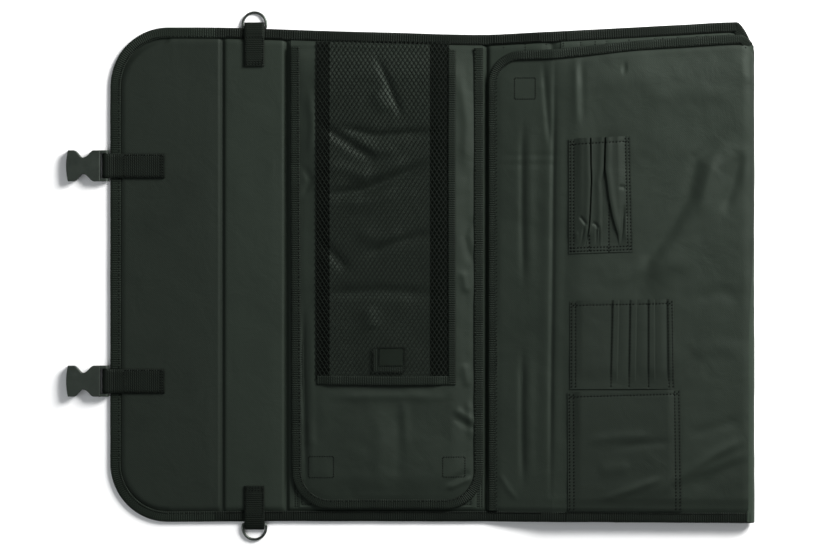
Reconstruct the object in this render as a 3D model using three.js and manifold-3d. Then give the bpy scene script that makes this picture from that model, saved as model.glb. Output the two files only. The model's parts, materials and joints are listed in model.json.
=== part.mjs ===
// A soft-sided chef's knife case, opened flat: boards between an outer cloth and a lining, with
// taped edges, knife slots under two guard flaps, pockets, and a closing flap with two
// side-release buckles. The origin is the middle of the back panel's underside, +X runs from the
// closing flap towards the front panel, and +Z is up. Lengths are in millimetres.
import * as THREE from "three";
import { mergeVertices } from "three/addons/utils/BufferGeometryUtils.js";
import Module from "manifold-3d";

const wasm = await Module();
wasm.setup();

// Panels, from left to right, and the folds between them
const caseHeight = 490;
const backWidth = 200;
const firstSpineWidth = 64;
const closingFlapWidth = 112;
const secondSpineWidth = 66;
const frontWidth = 200;
const leafSetback = 50; // the leaf is this much narrower than the front panel, clear of its plugs
const flapCornerRadius = 58;
const leafCornerRadius = 14;
const foldGap = 0.15; // each side of a fold line
const closedSpineAngle = THREE.MathUtils.degToRad(62); // second spine, case closed

// Cloths, boards and tapes
const shellCloth = 0.8;
const lining = 0.6;
const board = 2;
const tape = 0.6;
const layerGap = 0.25;
const bindingWidth = 10.5;
const tapeEdge = 0.25; // rounding of a tape's outer edge
const clothRamp = 3; // run over which the outer cloth rises into its binding
const boardRamp = 5; // run over which the lining climbs onto its board

// Knife slots
const slotCount = 5;
const slotClear = 4.4;
const slotSeam = 9; // flat band between two slots
const slotRamp = 3;
const slotToe = 28; // flat cloth at the closed end
const slotToeRamp = 12;
const slotEndInset = 14; // closed end, from the edge of the case
const slotLength = 300;
const backSlotMargin = 13.5;
const frontSlotMargin = 9;
const frontSlotFarMargin = 22;

// Guard flaps
const guardCloth = 0.6;
const guardTape = 9.5;
const guardHingeInset = 11.8; // hinge line, from the edge of the case
const guardFreeInset = 12.5; // free edge of the back guard flap
const guardTopInset = 14; // free top edge of the front guard flap
const guardCornerRadius = 38;
const guardSideCornerRadius = 30;
const guardRamp = 4.2; // run from the taped edge up to the level over the slots
const guardFlat = 12; // level stretch beside the hinge
const guardClimb = 25;
const guardTuck = 6; // right end of the front guard flap, from the fold
const guardTuckFlat = 12;
const guardTuckRamp = 11;

// Mesh pocket on the back guard flap
const meshWidth = 131.2;
const meshMiddle = -3.9;
const meshLength = 334.2; // from the hinge line down to the mouth
const meshClear = 5.9;
const meshStrand = 1.1;
const meshColumns = 8;
const meshRows = 18;
const meshThickness = 0.5;
const meshTapeWidth = 7.5;
const meshTape = 0.8;
const meshSideRamp = 12;
const hookPadWidth = 27;
const hookPadHeight = 20.6;
const hookPad = 1.2;
const hookPadX = 5.5;
const hookPadRise = 20.7; // from the mouth up to the middle of the pad

// Pockets on the front guard flap, with their sides measured from the second fold
const pocketCloth = 0.6;
const pocketClear = 4.4;
const pocketSeam = 2;
const pocketRamp = 8;
const pocketBottomRamp = 9;
const pocketLiftRun = 30; // run over which a pocket beside the hinge opens
const pleatedPocket = { left: 17.2, right: 78.3, height: 117.7 };
const pleatedPocketDrop = 105; // its top, from the top edge of the case
const pleatStep = 1.4;
const pleatFold = 0.6;
const pleats = [
  { top: 21, bottom: 13 },
  { top: 36, bottom: 48 },
];
const cardPocket = { left: 17.8, right: 120.9, height: 87.5 };
const cardPocketGap = 2; // above the lower pocket
const cardSeams = [0, 44.9, 62.1, 81.3, cardPocket.right - cardPocket.left];
const cardSeamHalf = 2.6;
const cardRamp = 2;
const lowerPocket = { left: 17, right: 128.8, height: 116.5 };
const lowerPocketRise = 13; // its bottom, from the lower edge of the case

// Webbing, buckles and rings
const webbing = 1.1; // one layer
const webbingPlay = 0.25; // round a bar
const buckleWebbing = 24.5;
const ringWebbing = 20;
const buckleSpacing = 215;
const buckleOffset = 2.5; // middle of the pair, above the middle of the case
const buckleWidth = 31;
const buckleEar = 2.75;
const buckleBar = 1.6;
const buckleRear = 4; // round end of the ears, about the bar
const socketThickness = 9;
const socketLength = 39; // from the bar to the mouth
const socketWaist = 16.5;
const socketWaistAt = 22.5;
const socketCollar = 10; // solid ring behind the mouth
const socketWall = 1.6;
const socketBlock = 4; // from the end of the webbing window to the cavity
const socketCavity = 21.5;
const socketMouthBulge = 1.6;
const socketBevel = 0.9;
const socketEdgeGap = 0.8; // from the flap's edge to the ears
const webbingWindow = 5;
const buckleTabLength = 54.5; // on the flap
const plugThickness = 7;
const plugShoulder = 8;
const plugGuide = 24;
const plugGuideWidth = 6.4;
const plugGuideThickness = 2.8;
const plugArmLength = 23;
const plugArmThickness = 4.8;
const plugArmWidth = 2.7;
const plugArmAt = 8.5;
const plugBarb = 2.4;
const plugBarbAt = 10.8; // catching face, from the shoulder
const plugBarbTop = 3; // flat outer side of a barb
const plugBarAt = 44; // from the fold
const plugTabStart = 3;
const ringWire = 1.25;
const ringHalf = 11.6;
const ringSide = 2.8;
const ringCorner = 1.2;
const ringDepth = 14; // from the bar to the bow
const ringTabLength = 38;
const ringEdgeGap = 0.6;

// Fold strip between the front panel and the leaf
const stripLining = 0.9;

// Faceting of round forms and the overrun of cuts
const arcSteps = 8;
const smallArcSteps = 3;
const bendSteps = 2;
const bevelSteps = 2;
const wireSides = 8;
const roundSides = 20;
const overrun = 1;

// Levels in a panel, from its underside
const pivotLevel = shellCloth;
const edgeClothLevel = tape + layerGap;
const edgeLiningLevel = edgeClothLevel + shellCloth + layerGap;
const bindingTop = edgeLiningLevel + lining + layerGap + tape;
const boardLevel = shellCloth + layerGap;
const liningLift = board + layerGap;
const liningLevel = boardLevel + liningLift;
const liningTop = liningLevel + lining;
const slotSeamLevel = liningTop + layerGap;
const slotRoofLevel = liningTop + slotClear;
const guardHingeLevel = liningTop + layerGap + tape + layerGap;
const guardLowLevel = slotSeamLevel + lining + layerGap + tape + layerGap;
const guardHighLevel = slotRoofLevel + lining + layerGap;
const guardTop = guardHighLevel + guardCloth;
const pocketSeamLevel = guardTop + layerGap;
const panelTop = caseHeight / 2;
const ends = [
  ["top", 1],
  ["bottom", -1],
];
const hingeLine = panelTop - guardHingeInset;
const webbingLevel = liningTop + layerGap;
const tabThickness = 2 * webbing;

// Rest pose: the front panel lies on its folded plugs and on the strip beside the leaf.
const frontLift = plugThickness + layerGap + tabThickness + layerGap + layerGap;
const spineSlope = Math.asin(frontLift / secondSpineWidth);
const stripWidth = frontLift + pivotLevel - (liningTop - pivotLevel);
const frontFoldX = backWidth / 2 + secondSpineWidth * Math.cos(spineSlope);
const leafWidth = frontWidth - leafSetback;

// How far each cloth keeps from a fold, for each unit of its height over the pivot
const quarterFold = 1;
const backFoldShare = Math.tan(closedSpineAngle / 2);
const frontFoldShare = Math.tan((Math.PI - closedSpineAngle) / 2);

function cutBack(top, inward, under = pivotLevel, outward = 0) {
  return foldGap + Math.max(inward * Math.max(0, top - pivotLevel), outward * (pivotLevel - under));
}

// Materials
function finish(colour, roughness, metalness = 0) {
  return new THREE.MeshStandardMaterial({ color: colour, roughness, metalness });
}

const outerNylon = finish("#1f2522", 0.75);
const liningNylon = finish("#2f3732", 0.7);
const guardNylon = finish("#343c37", 0.68);
const ribbedTape = finish("#171b19", 0.85);
const wovenWebbing = finish("#1b1f1d", 0.8);
const stiffBoard = finish("#8c8a80", 0.9);
const nettingYarn = finish("#20262a", 0.6);
const hookNylon = finish("#141716", 0.95);
const acetal = finish("#2a302c", 0.45);
const gunmetal = finish("#4c4f50", 0.35, 0.9);

// Geometry and solids
function closedGeometry(vertices, faces) {
  const geometry = new THREE.BufferGeometry();
  geometry.setAttribute("position", new THREE.Float32BufferAttribute(vertices.flat(), 3));
  geometry.setIndex(faces.flat());
  return geometry;
}

function solidOf(geometry) {
  const bare = geometry.clone();
  bare.deleteAttribute("normal");
  bare.deleteAttribute("uv");
  const merged = mergeVertices(bare);
  const vertProperties = new Float32Array(merged.getAttribute("position").array);
  const triVerts = new Uint32Array(merged.getIndex().array);
  return new wasm.Manifold(new wasm.Mesh({ numProp: 3, vertProperties, triVerts }));
}

function geometryOf(solid) {
  const found = solid.getMesh();
  const geometry = new THREE.BufferGeometry();
  geometry.setAttribute("position", new THREE.BufferAttribute(found.vertProperties, found.numProp));
  geometry.setIndex(new THREE.BufferAttribute(found.triVerts, 1));
  return geometry;
}

function join(...pieces) {
  return geometryOf(pieces.map(solidOf).reduce((whole, piece) => whole.add(piece)));
}

function cut(body, ...tools) {
  return geometryOf(tools.map(solidOf).reduce((rest, tool) => rest.subtract(tool), solidOf(body)));
}

function extruded(shape, depth, curveSegments) {
  return new THREE.ExtrudeGeometry(shape, { depth, bevelEnabled: false, curveSegments });
}

// A rounded plate between two levels that lie evenly about the middle.
function rounded(shape, thickness, outward, curveSegments) {
  const settings = {
    depth: thickness - 2 * socketBevel,
    bevelEnabled: true,
    bevelThickness: socketBevel,
    bevelSize: socketBevel,
    bevelOffset: outward - socketBevel,
    bevelSegments: bevelSteps,
    curveSegments,
  };
  return new THREE.ExtrudeGeometry(shape, settings).translate(0, 0, socketBevel - thickness / 2);
}

function box(x0, x1, y0, y1, z0, z1) {
  const made = new THREE.BoxGeometry(x1 - x0, y1 - y0, z1 - z0);
  return made.translate((x0 + x1) / 2, (y0 + y1) / 2, (z0 + z1) / 2);
}

// A round bar along Y.
function barAlongY(radius, length, x, z) {
  return new THREE.CylinderGeometry(radius, radius, length, roundSides).translate(x, 0, z);
}

// A section of equal points at each station, joined from one station to the next.
function loft(sections, closed = false) {
  const around = sections[0].length;
  const faces = [];
  const spans = closed ? sections.length : sections.length - 1;
  for (let i = 0; i < spans; i++) {
    const here = i * around;
    const next = ((i + 1) % sections.length) * around;
    for (let j = 0; j < around; j++) {
      const k = (j + 1) % around;
      faces.push([here + j, next + j, next + k], [here + j, next + k, here + k]);
    }
  }
  return { vertices: sections.flat(), faces, around };
}

// A flat profile of [across, up] points, swept through stations that place each point.
function sweep(profile, stations) {
  const sections = stations.map((place) => profile.map(([across, up]) => place(across, up)));
  const { vertices, faces, around } = loft(sections);
  const contour = profile.map(([across, up]) => new THREE.Vector2(across, up));
  const last = (sections.length - 1) * around;
  for (const [a, b, c] of THREE.ShapeUtils.triangulateShape(contour, [])) {
    faces.push([a, b, c], [last + a, last + c, last + b]);
  }
  return facingOut(closedGeometry(vertices, faces));
}

function facingOut(geometry) {
  const at = geometry.getAttribute("position");
  const index = geometry.getIndex();
  const corners = [new THREE.Vector3(), new THREE.Vector3(), new THREE.Vector3()];
  let volume = 0;
  for (let i = 0; i < index.count; i += 3) {
    corners.forEach((corner, j) => corner.fromBufferAttribute(at, index.getX(i + j)));
    volume += corners[0].dot(corners[1].cross(corners[2]));
  }
  if (volume < 0) {
    for (let i = 0; i < index.count; i += 3) {
      const first = index.getX(i);
      index.setX(i, index.getX(i + 1));
      index.setX(i + 1, first);
    }
  }
  return geometry;
}

// A cloth laid out as points with the level of their underside, and polygons seen from above.
class Cloth {
  constructor() {
    this.points = [];
    this.triangles = [];
  }

  point(x, y, under) {
    this.points.push([x, y, under]);
    return this.points.length - 1;
  }

  quad(a, b, c, d) {
    this.triangles.push([a, b, c], [a, c, d]);
  }

  polygon(corners) {
    const contour = corners.map((i) => new THREE.Vector2(this.points[i][0], this.points[i][1]));
    for (const [a, b, c] of THREE.ShapeUtils.triangulateShape(contour, [])) {
      const turn = contour[b].clone().sub(contour[a]).cross(contour[c].clone().sub(contour[a]));
      const seenFromAbove = turn > 0 ? [a, b, c] : [a, c, b];
      this.triangles.push(seenFromAbove.map((i) => corners[i]));
    }
  }

  thicken(thickness) {
    const count = this.points.length;
    const above = this.points.map(([x, y, under]) => [x, y, under + thickness]);
    const faces = [];
    const edges = new Set();
    for (const [a, b, c] of this.triangles) {
      faces.push([a + count, b + count, c + count], [a, c, b]);
      for (const [from, to] of [[a, b], [b, c], [c, a]]) {
        edges.add(from + ":" + to);
      }
    }
    for (const edge of edges) {
      const [from, to] = edge.split(":").map(Number);
      if (!edges.has(to + ":" + from)) {
        faces.push([from + count, from, to], [from + count, to, to + count]);
      }
    }
    return closedGeometry([...this.points, ...above], faces);
  }
}

// A cloth of rows and columns, where a row's columns can lean with it.
function gridCloth(rows, columnsAt, underAt, thickness) {
  const cloth = new Cloth();
  const grid = rows.map((y, j) => columnsAt(y, j).map((x, i) => cloth.point(x, y, underAt(x, y, i, j))));
  for (let j = 0; j + 1 < grid.length; j++) {
    for (let i = 0; i + 1 < grid[j].length; i++) {
      cloth.quad(grid[j][i], grid[j][i + 1], grid[j + 1][i + 1], grid[j + 1][i]);
    }
  }
  return cloth.thicken(thickness);
}

// A value that goes from low to high between two places, and keeps level beyond them.
function ramp(value, from, low, to, high) {
  const share = Math.max(0, Math.min(1, (value - from) / (to - from)));
  return low + (high - low) * share;
}

// Outline of a panel that is held along x = 0 and free on its three other sides. Each station
// has its place, the inward normal and, near the held side, its distance from it.
function freeOutline(length, half, radius, marks) {
  const stations = marks.map((x) => ({ x, y: -half, nx: 0, ny: 1, near: x }));
  for (let corner = 0; corner < 2; corner++) {
    const side = corner === 0 ? -1 : 1;
    for (let i = 0; i <= arcSteps; i++) {
      const turn = ((corner === 0 ? i - arcSteps : i) / arcSteps) * (Math.PI / 2);
      const out = [Math.cos(turn), Math.sin(turn)];
      const centre = [length - radius, side * (half - radius)];
      stations.push({
        x: centre[0] + radius * out[0],
        y: centre[1] + radius * out[1],
        nx: -out[0],
        ny: -out[1],
        near: length,
      });
    }
  }
  [...marks].reverse().forEach((x) => stations.push({ x, y: half, nx: 0, ny: -1, near: x }));
  return stations;
}

// Cloth of such a panel: rings that follow the outline, and strips beside the held side.
function freeCloth(outline, marks, rings, underAt, heldCut, thickness) {
  const cloth = new Cloth();
  const count = outline.length;
  const made = rings.map((inset, k) =>
    outline.map((station, i) => {
      const under = underAt(k, station.near);
      const ends = i === 0 || i === count - 1;
      const x = ends ? heldCut(under + thickness, under) : station.x + station.nx * inset;
      return cloth.point(x, station.y + station.ny * inset, under);
    }),
  );
  for (let k = 0; k + 1 < made.length; k++) {
    for (let i = 0; i + 1 < count; i++) {
      cloth.quad(made[k][i], made[k][i + 1], made[k + 1][i + 1], made[k + 1][i]);
    }
  }
  const inner = made[made.length - 1];
  for (let i = 0; i + 1 < marks.length; i++) {
    cloth.quad(inner[i], inner[i + 1], inner[count - 2 - i], inner[count - 1 - i]);
  }
  cloth.polygon(inner.slice(marks.length - 1, count - marks.length + 1));
  return cloth.thicken(thickness);
}

// A tape folded round an edge, as [in from the edge, up from its underside].
function foldedTape(width, height) {
  return [
    [tapeEdge, 0],
    [width, 0],
    [width, tape],
    [tape, tape],
    [tape, height - tape],
    [width, height - tape],
    [width, height],
    [tapeEdge, height],
    [0, height - tapeEdge],
    [0, tapeEdge],
  ];
}

// Round forms of the shell
function insetRows(insets) {
  const low = insets.map((inset) => inset - panelTop);
  return [...low, ...low.map((y) => -y).reverse()];
}

const boundInset = edgeClothLevel;
const clothInsets = [boundInset, bindingWidth + layerGap, bindingWidth + layerGap + clothRamp];
const liningInsets = [...clothInsets, bindingWidth + layerGap + clothRamp + boardRamp];
const boardInset = liningInsets[3] + layerGap;
const clothLevels = [edgeClothLevel, edgeClothLevel, 0, 0];

function clothLevelAt(y) {
  return ramp(panelTop - Math.abs(y), clothInsets[1], edgeClothLevel, clothInsets[2], 0);
}

// A panel between two folds: how each side folds is its inward and outward share.
function middlePanel(name, width, left, right) {
  const panel = new THREE.Group();
  const leftCut = (top, under) => cutBack(top, left.inward, under, left.outward);
  const rightCut = (top, under) => width - cutBack(top, right.inward, under, right.outward);
  const clothColumns = (y) => {
    const under = clothLevelAt(y);
    return [leftCut(under + shellCloth, under), rightCut(under + shellCloth, under)];
  };
  const outer = gridCloth(insetRows(clothInsets), clothColumns, (x, y) => clothLevelAt(y), shellCloth);
  panel.add(piece(name + "_outer_cloth", outer, outerNylon));

  const seamLevel = (y) => clothLevelAt(y) + boardLevel;
  const liningColumns = (y) => {
    const from = leftCut(seamLevel(y) + lining, seamLevel(y));
    const to = rightCut(seamLevel(y) + lining, seamLevel(y));
    return [from, from + boardRamp, to - boardRamp, to];
  };
  const liningUnder = (x, y, i, j) => {
    const raised = (i === 1 || i === 2) && (j === 3 || j === 4);
    return seamLevel(y) + (raised ? liningLift : 0);
  };
  const inner = gridCloth(insetRows(liningInsets), liningColumns, liningUnder, lining);
  panel.add(piece(name + "_lining", inner, liningNylon));

  const from = leftCut(boardLevel + lining, boardLevel) + boardRamp + layerGap;
  const to = rightCut(boardLevel + lining, boardLevel) - boardRamp - layerGap;
  const half = panelTop - boardInset;
  const plate = box(from, to, -half, half, boardLevel, boardLevel + board);
  panel.add(piece(name + "_board", plate, stiffBoard));

  for (const [end, side] of ends) {
    const stations = [
      (across, up) => [leftCut(up, up), side * (panelTop - across), up],
      (across, up) => [rightCut(up, up), side * (panelTop - across), up],
    ];
    const taped = sweep(foldedTape(bindingWidth, bindingTop), stations);
    panel.add(piece(name + "_" + end + "_binding", taped, ribbedTape));
  }
  return panel;
}

// A panel held on one side, with a tape round the three others.
function endPanel(name, width, radius, held) {
  const panel = new THREE.Group();
  const heldCut = (top, under) => cutBack(top, held.inward, under, held.outward);
  const outline = freeOutline(width, panelTop, radius, [0]);
  const outer = freeCloth(outline, [0], clothInsets, (k) => clothLevels[k], heldCut, shellCloth);
  panel.add(piece(name + "_outer_cloth", outer, outerNylon));

  const climbed = heldCut(boardLevel + lining, boardLevel) + boardRamp;
  const marks = [0, climbed];
  const liningOutline = freeOutline(width, panelTop, radius, marks);
  const liningUnder = (k, near) => clothLevels[k] + boardLevel + (k === 3 && near > 0 ? liningLift : 0);
  const inner = freeCloth(liningOutline, marks, liningInsets, liningUnder, heldCut, lining);
  panel.add(piece(name + "_lining", inner, liningNylon));

  const half = panelTop - boardInset;
  const reach = width - boardInset;
  const round = Math.max(radius - boardInset, tape);
  const shape = new THREE.Shape();
  shape.moveTo(climbed + layerGap, -half);
  shape.lineTo(reach - round, -half);
  shape.absarc(reach - round, round - half, round, -Math.PI / 2, 0, false);
  shape.absarc(reach - round, half - round, round, 0, Math.PI / 2, false);
  shape.lineTo(climbed + layerGap, half);
  const plate = extruded(shape, board, arcSteps);
  panel.add(piece(name + "_board", plate.translate(0, 0, boardLevel), stiffBoard));

  const last = outline.length - 1;
  const stations = outline.map((station, i) => (across, up) => [
    i === 0 || i === last ? heldCut(up, up) : station.x + station.nx * across,
    station.y + station.ny * across,
    up,
  ]);
  const taped = sweep(foldedTape(bindingWidth, bindingTop), stations);
  panel.add(piece(name + "_binding", taped, ribbedTape));
  return panel;
}

function piece(name, geometry, material) {
  const mesh = new THREE.Mesh(geometry, material);
  mesh.name = name;
  return mesh;
}

// Knife slots: a cloth with raised tunnels, closed at the toe and open at the mouth. It is laid
// out with its toe at low y, and turned round for the front panel.
function knifeSlots(name, width, leftMargin, rightMargin) {
  const pitch = (width - leftMargin - rightMargin) / slotCount;
  const columns = [];
  const raised = [];
  for (let i = 0; i < slotCount; i++) {
    const start = leftMargin + i * pitch;
    const seam = slotSeam / 2;
    columns.push(start + (i === 0 ? 0 : -seam), start + seam);
    raised.push(false, false);
    columns.push(start + seam + slotRamp, start + pitch - seam - slotRamp);
    raised.push(true, true);
  }
  columns.push(width - rightMargin - slotSeam / 2, width - rightMargin);
  raised.push(false, false);
  const unique = columns.map((x, i) => [x, raised[i]]).filter(([x], i) => i === 0 || x > columns[i - 1]);
  const toe = slotEndInset - panelTop;
  const rows = [toe, toe + slotToe, toe + slotToe + slotToeRamp, toe + slotLength];
  const under = (x, y, i, j) => (j >= 2 && unique[i][1] ? slotRoofLevel : slotSeamLevel);
  return piece(name, gridCloth(rows, () => unique.map(([x]) => x), under, lining), liningNylon);
}

// Back guard flap: held along x = 0 at the hinge line, in a frame turned to hang down.
function hingeRise(near) {
  return ramp(near, guardFlat, 0, guardFlat + guardClimb, 1);
}

function guardLow(near) {
  return guardHingeLevel + (guardLowLevel - guardHingeLevel) * hingeRise(near);
}

function guardHigh(near) {
  return guardHingeLevel + (guardHighLevel - guardHingeLevel) * hingeRise(near);
}

const guardRings = [boundInset, guardTape + layerGap, guardTape + layerGap + guardRamp];
const guardTapeHeight = guardCloth + 2 * edgeClothLevel;
const guardEdgeTop = guardLowLevel + guardCloth + edgeClothLevel;

function backGuardFlap() {
  const flap = new THREE.Group();
  const left = cutBack(guardEdgeTop, quarterFold) - backWidth / 2;
  const right = backWidth / 2 - cutBack(guardEdgeTop, backFoldShare);
  const half = (right - left) / 2;
  const middle = (left + right) / 2;
  const length = hingeLine + panelTop - guardFreeInset;
  const marks = [0, guardFlat, guardFlat + guardClimb];
  const outline = freeOutline(length, half, guardCornerRadius, marks);
  const under = (k, near) => (k === 2 ? guardHigh(near) : guardLow(near));
  const cloth = freeCloth(outline, marks, guardRings, under, () => 0, guardCloth);
  flap.add(piece("back_guard_flap_cloth", cloth, guardNylon));

  const stations = outline.map((station) => (across, up) => [
    station.x + station.nx * across,
    station.y + station.ny * across,
    guardLow(station.near) - edgeClothLevel + up,
  ]);
  const taped = sweep(foldedTape(guardTape, guardTapeHeight), stations);
  flap.add(piece("back_guard_flap_binding", taped, ribbedTape));
  flap.rotation.z = -Math.PI / 2;
  flap.position.set(middle, hingeLine, 0);
  return flap;
}

// Mesh pocket: a net of diamond gaps, held at the top and both sides, open at the bottom.
const meshLeft = meshMiddle - meshWidth / 2;
const meshRight = meshMiddle + meshWidth / 2;
const meshTop = hingeLine;
const meshMouth = meshTop - meshLength;

function meshLevelAt(x, y) {
  const sides = Math.min(x - meshLeft, meshRight - x) / meshSideRamp;
  const top = (meshTop - y) / pocketLiftRun;
  const lift = Math.max(0, Math.min(1, sides, top));
  return guardHigh(hingeLine - y) + guardCloth + layerGap + meshClear * lift;
}

function meshNet() {
  const cloth = new Cloth();
  const wide = meshWidth / meshColumns;
  const tall = (meshTop - meshMouth) / meshRows;
  const at = (x, y) => cloth.point(x, y, meshLevelAt(x, y));
  const corners = [];
  for (let j = 0; j <= meshRows; j++) {
    corners.push([]);
    for (let i = 0; i <= meshColumns; i++) {
      corners[j].push(at(meshLeft + i * wide, meshMouth + j * tall));
    }
  }
  for (let j = 0; j < meshRows; j++) {
    for (let i = 0; i < meshColumns; i++) {
      const x = meshLeft + (i + 1 / 2) * wide;
      const y = meshMouth + (j + 1 / 2) * tall;
      const down = at(x, y - tall / 2 + meshStrand);
      const right = at(x + wide / 2 - meshStrand, y);
      const up = at(x, y + tall / 2 - meshStrand);
      const left = at(x - wide / 2 + meshStrand, y);
      const [a, b] = [corners[j][i], corners[j][i + 1]];
      const [c, d] = [corners[j + 1][i + 1], corners[j + 1][i]];
      cloth.triangles.push([a, b, down], [b, c, right], [c, d, up], [d, a, left]);
      cloth.triangles.push([b, right, down], [c, up, right], [d, left, up], [a, down, left]);
    }
  }
  return piece("mesh_pocket_net", cloth.thicken(meshThickness), nettingYarn);
}

// Tape along the net's right side and mouth, as one mitred strip.
function meshBinding() {
  const cloth = new Cloth();
  const inner = layerGap;
  const outer = layerGap + meshTapeWidth;
  const sideUnder = (y) => guardHigh(hingeLine - y) + guardCloth + layerGap;
  const sideRows = [meshTop, hingeLine - guardFlat, hingeLine - guardFlat - guardClimb, meshMouth];
  const side = sideRows.map((y) => [
    cloth.point(meshRight + inner, y, sideUnder(y)),
    cloth.point(meshRight + outer, y, sideUnder(y)),
  ]);
  for (let j = 0; j + 1 < side.length; j++) {
    cloth.quad(side[j][0], side[j + 1][0], side[j + 1][1], side[j][1]);
  }
  const hemColumns = [meshRight, meshRight - meshSideRamp, meshLeft + meshSideRamp, meshLeft];
  const hem = hemColumns.map((x) => [
    cloth.point(x, meshMouth - inner, meshLevelAt(x, meshMouth)),
    cloth.point(x, meshMouth - outer, meshLevelAt(x, meshMouth)),
  ]);
  for (let i = 0; i + 1 < hem.length; i++) {
    cloth.quad(hem[i][0], hem[i + 1][0], hem[i + 1][1], hem[i][1]);
  }
  const foot = cloth.point(meshRight + outer, meshMouth - outer, sideUnder(meshMouth));
  const bend = cloth.point(meshRight + inner, meshMouth - inner, sideUnder(meshMouth));
  const [top, edge] = side[side.length - 1];
  cloth.quad(bend, foot, edge, top);
  cloth.triangles.push([hem[0][0], hem[0][1], foot], [hem[0][0], foot, bend]);
  return piece("mesh_pocket_binding", cloth.thicken(meshTape), ribbedTape);
}

function meshHookPad() {
  const x = hookPadX - hookPadWidth / 2;
  const y = meshMouth + hookPadRise - hookPadHeight / 2;
  const pad = box(x, x + hookPadWidth, y, y + hookPadHeight, pocketSeamLevel, pocketSeamLevel + hookPad);
  return piece("mesh_pocket_hook_pad", pad, hookNylon);
}

// Front guard flap: the part over the front panel, the part over the second spine, and the
// narrow crease that joins them.
const creaseOnFront = cutBack(guardLowLevel + guardCloth, frontFoldShare);
const creaseOnSpine = cutBack(guardHingeLevel + guardCloth, frontFoldShare);
const guardFrontTop = panelTop - guardTopInset;
const frontRise = cutBack(guardHighLevel + guardCloth, frontFoldShare);

function frontGuardCloth() {
  const columns = [
    creaseOnFront,
    frontRise,
    frontWidth - guardTuckFlat - guardTuckRamp,
    frontWidth - guardTuckFlat,
    frontWidth - guardTuck,
  ];
  const rows = [
    -hingeLine,
    guardFlat - hingeLine,
    guardFlat + guardClimb - hingeLine,
    guardFrontTop - guardRings[2],
    guardFrontTop - guardRings[1],
    guardFrontTop - guardRings[0],
  ];
  const under = (x, y, i, j) => {
    const near = y + hingeLine;
    return (i === 1 || i === 2) && j < 4 ? guardHigh(near) : guardLow(near);
  };
  const cloth = gridCloth(rows, () => columns, under, guardCloth);
  return piece("front_guard_flap_cloth", cloth, guardNylon);
}

function frontGuardBinding() {
  const from = cutBack(guardEdgeTop, frontFoldShare);
  const stations = [from, frontWidth - guardTuck].map((x) => (across, up) => [
    x,
    guardFrontTop - across,
    guardLowLevel - edgeClothLevel + up,
  ]);
  const taped = sweep(foldedTape(guardTape, guardTapeHeight), stations);
  return piece("front_guard_flap_binding", taped, ribbedTape);
}

function sideGuardOutline() {
  const right = secondSpineWidth - creaseOnSpine;
  const left = cutBack(guardHingeLevel + guardCloth + edgeClothLevel, backFoldShare);
  const radius = guardSideCornerRadius;
  const stations = [{ x: right, y: guardFrontTop, nx: 0, ny: -1 }];
  for (let i = 0; i <= arcSteps; i++) {
    const turn = Math.PI / 2 + (i / arcSteps) * (Math.PI / 2);
    stations.push({
      x: left + radius + radius * Math.cos(turn),
      y: guardFrontTop - radius + radius * Math.sin(turn),
      nx: -Math.cos(turn),
      ny: -Math.sin(turn),
    });
  }
  stations.push({ x: left, y: -hingeLine, nx: 1, ny: 0 });
  return stations;
}

function sideGuardPieces() {
  const side = new THREE.Group();
  const outline = sideGuardOutline();
  const cloth = new Cloth();
  const edge = outline.map(({ x, y, nx, ny }) =>
    cloth.point(x + nx * boundInset, y + ny * boundInset, guardHingeLevel),
  );
  edge.push(cloth.point(outline[0].x, -hingeLine, guardHingeLevel));
  cloth.polygon(edge);
  side.add(piece("front_guard_side_cloth", cloth.thicken(guardCloth), guardNylon));
  const setBack = cutBack(guardHingeLevel + guardCloth + edgeClothLevel, frontFoldShare) - creaseOnSpine;
  const stations = outline.map(({ x, y, nx, ny }, i) => (across, up) => [
    x + nx * across - (i === 0 ? setBack : 0),
    y + ny * across,
    guardHingeLevel - edgeClothLevel + up,
  ]);
  const taped = sweep(foldedTape(guardTape, guardTapeHeight), stations);
  side.add(piece("front_guard_side_binding", taped, ribbedTape));
  return side;
}

// A place in the second spine's frame, measured back from the front fold, in the front frame.
function fromSpine(back, up) {
  const over = up - pivotLevel;
  return [
    -back * Math.cos(spineSlope) - over * Math.sin(spineSlope),
    pivotLevel - back * Math.sin(spineSlope) + over * Math.cos(spineSlope),
  ];
}

function guardCrease() {
  const [farX, farUnder] = fromSpine(creaseOnSpine - 2 * foldGap, guardHingeLevel);
  const nearX = creaseOnFront - 2 * foldGap;
  const bottom = -hingeLine;
  const top = guardFrontTop - guardTape;
  const rows = [bottom, bottom + guardFlat, bottom + guardFlat + guardClimb, top];
  const middleX = (farX + nearX) / 2;
  const under = (x, y, i) => {
    const near = guardLow(y + hingeLine);
    return [farUnder, (farUnder + near) / 2, near][i];
  };
  const strip = gridCloth(rows, () => [farX, middleX, nearX], under, guardCloth);
  return piece("front_guard_crease", strip, guardNylon);
}

// Pockets on the front guard flap
const lowerPocketBottom = lowerPocketRise - panelTop;
const cardPocketBottom = lowerPocketBottom + lowerPocket.height + cardPocketGap;
const pleatedPocketBottom = panelTop - pleatedPocketDrop - pleatedPocket.height;

function flatPocket(bottom, height, lift, columnsOf, raisedAt) {
  const seamEnd = bottom + pocketSeam;
  const rows = [bottom, seamEnd, seamEnd + pocketBottomRamp, bottom + height];
  const under = (x, y, i, j) => pocketSeamLevel + (j >= 2 ? raisedAt(i) : 0) * lift;
  return gridCloth(rows, columnsOf, under, pocketCloth);
}

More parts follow.
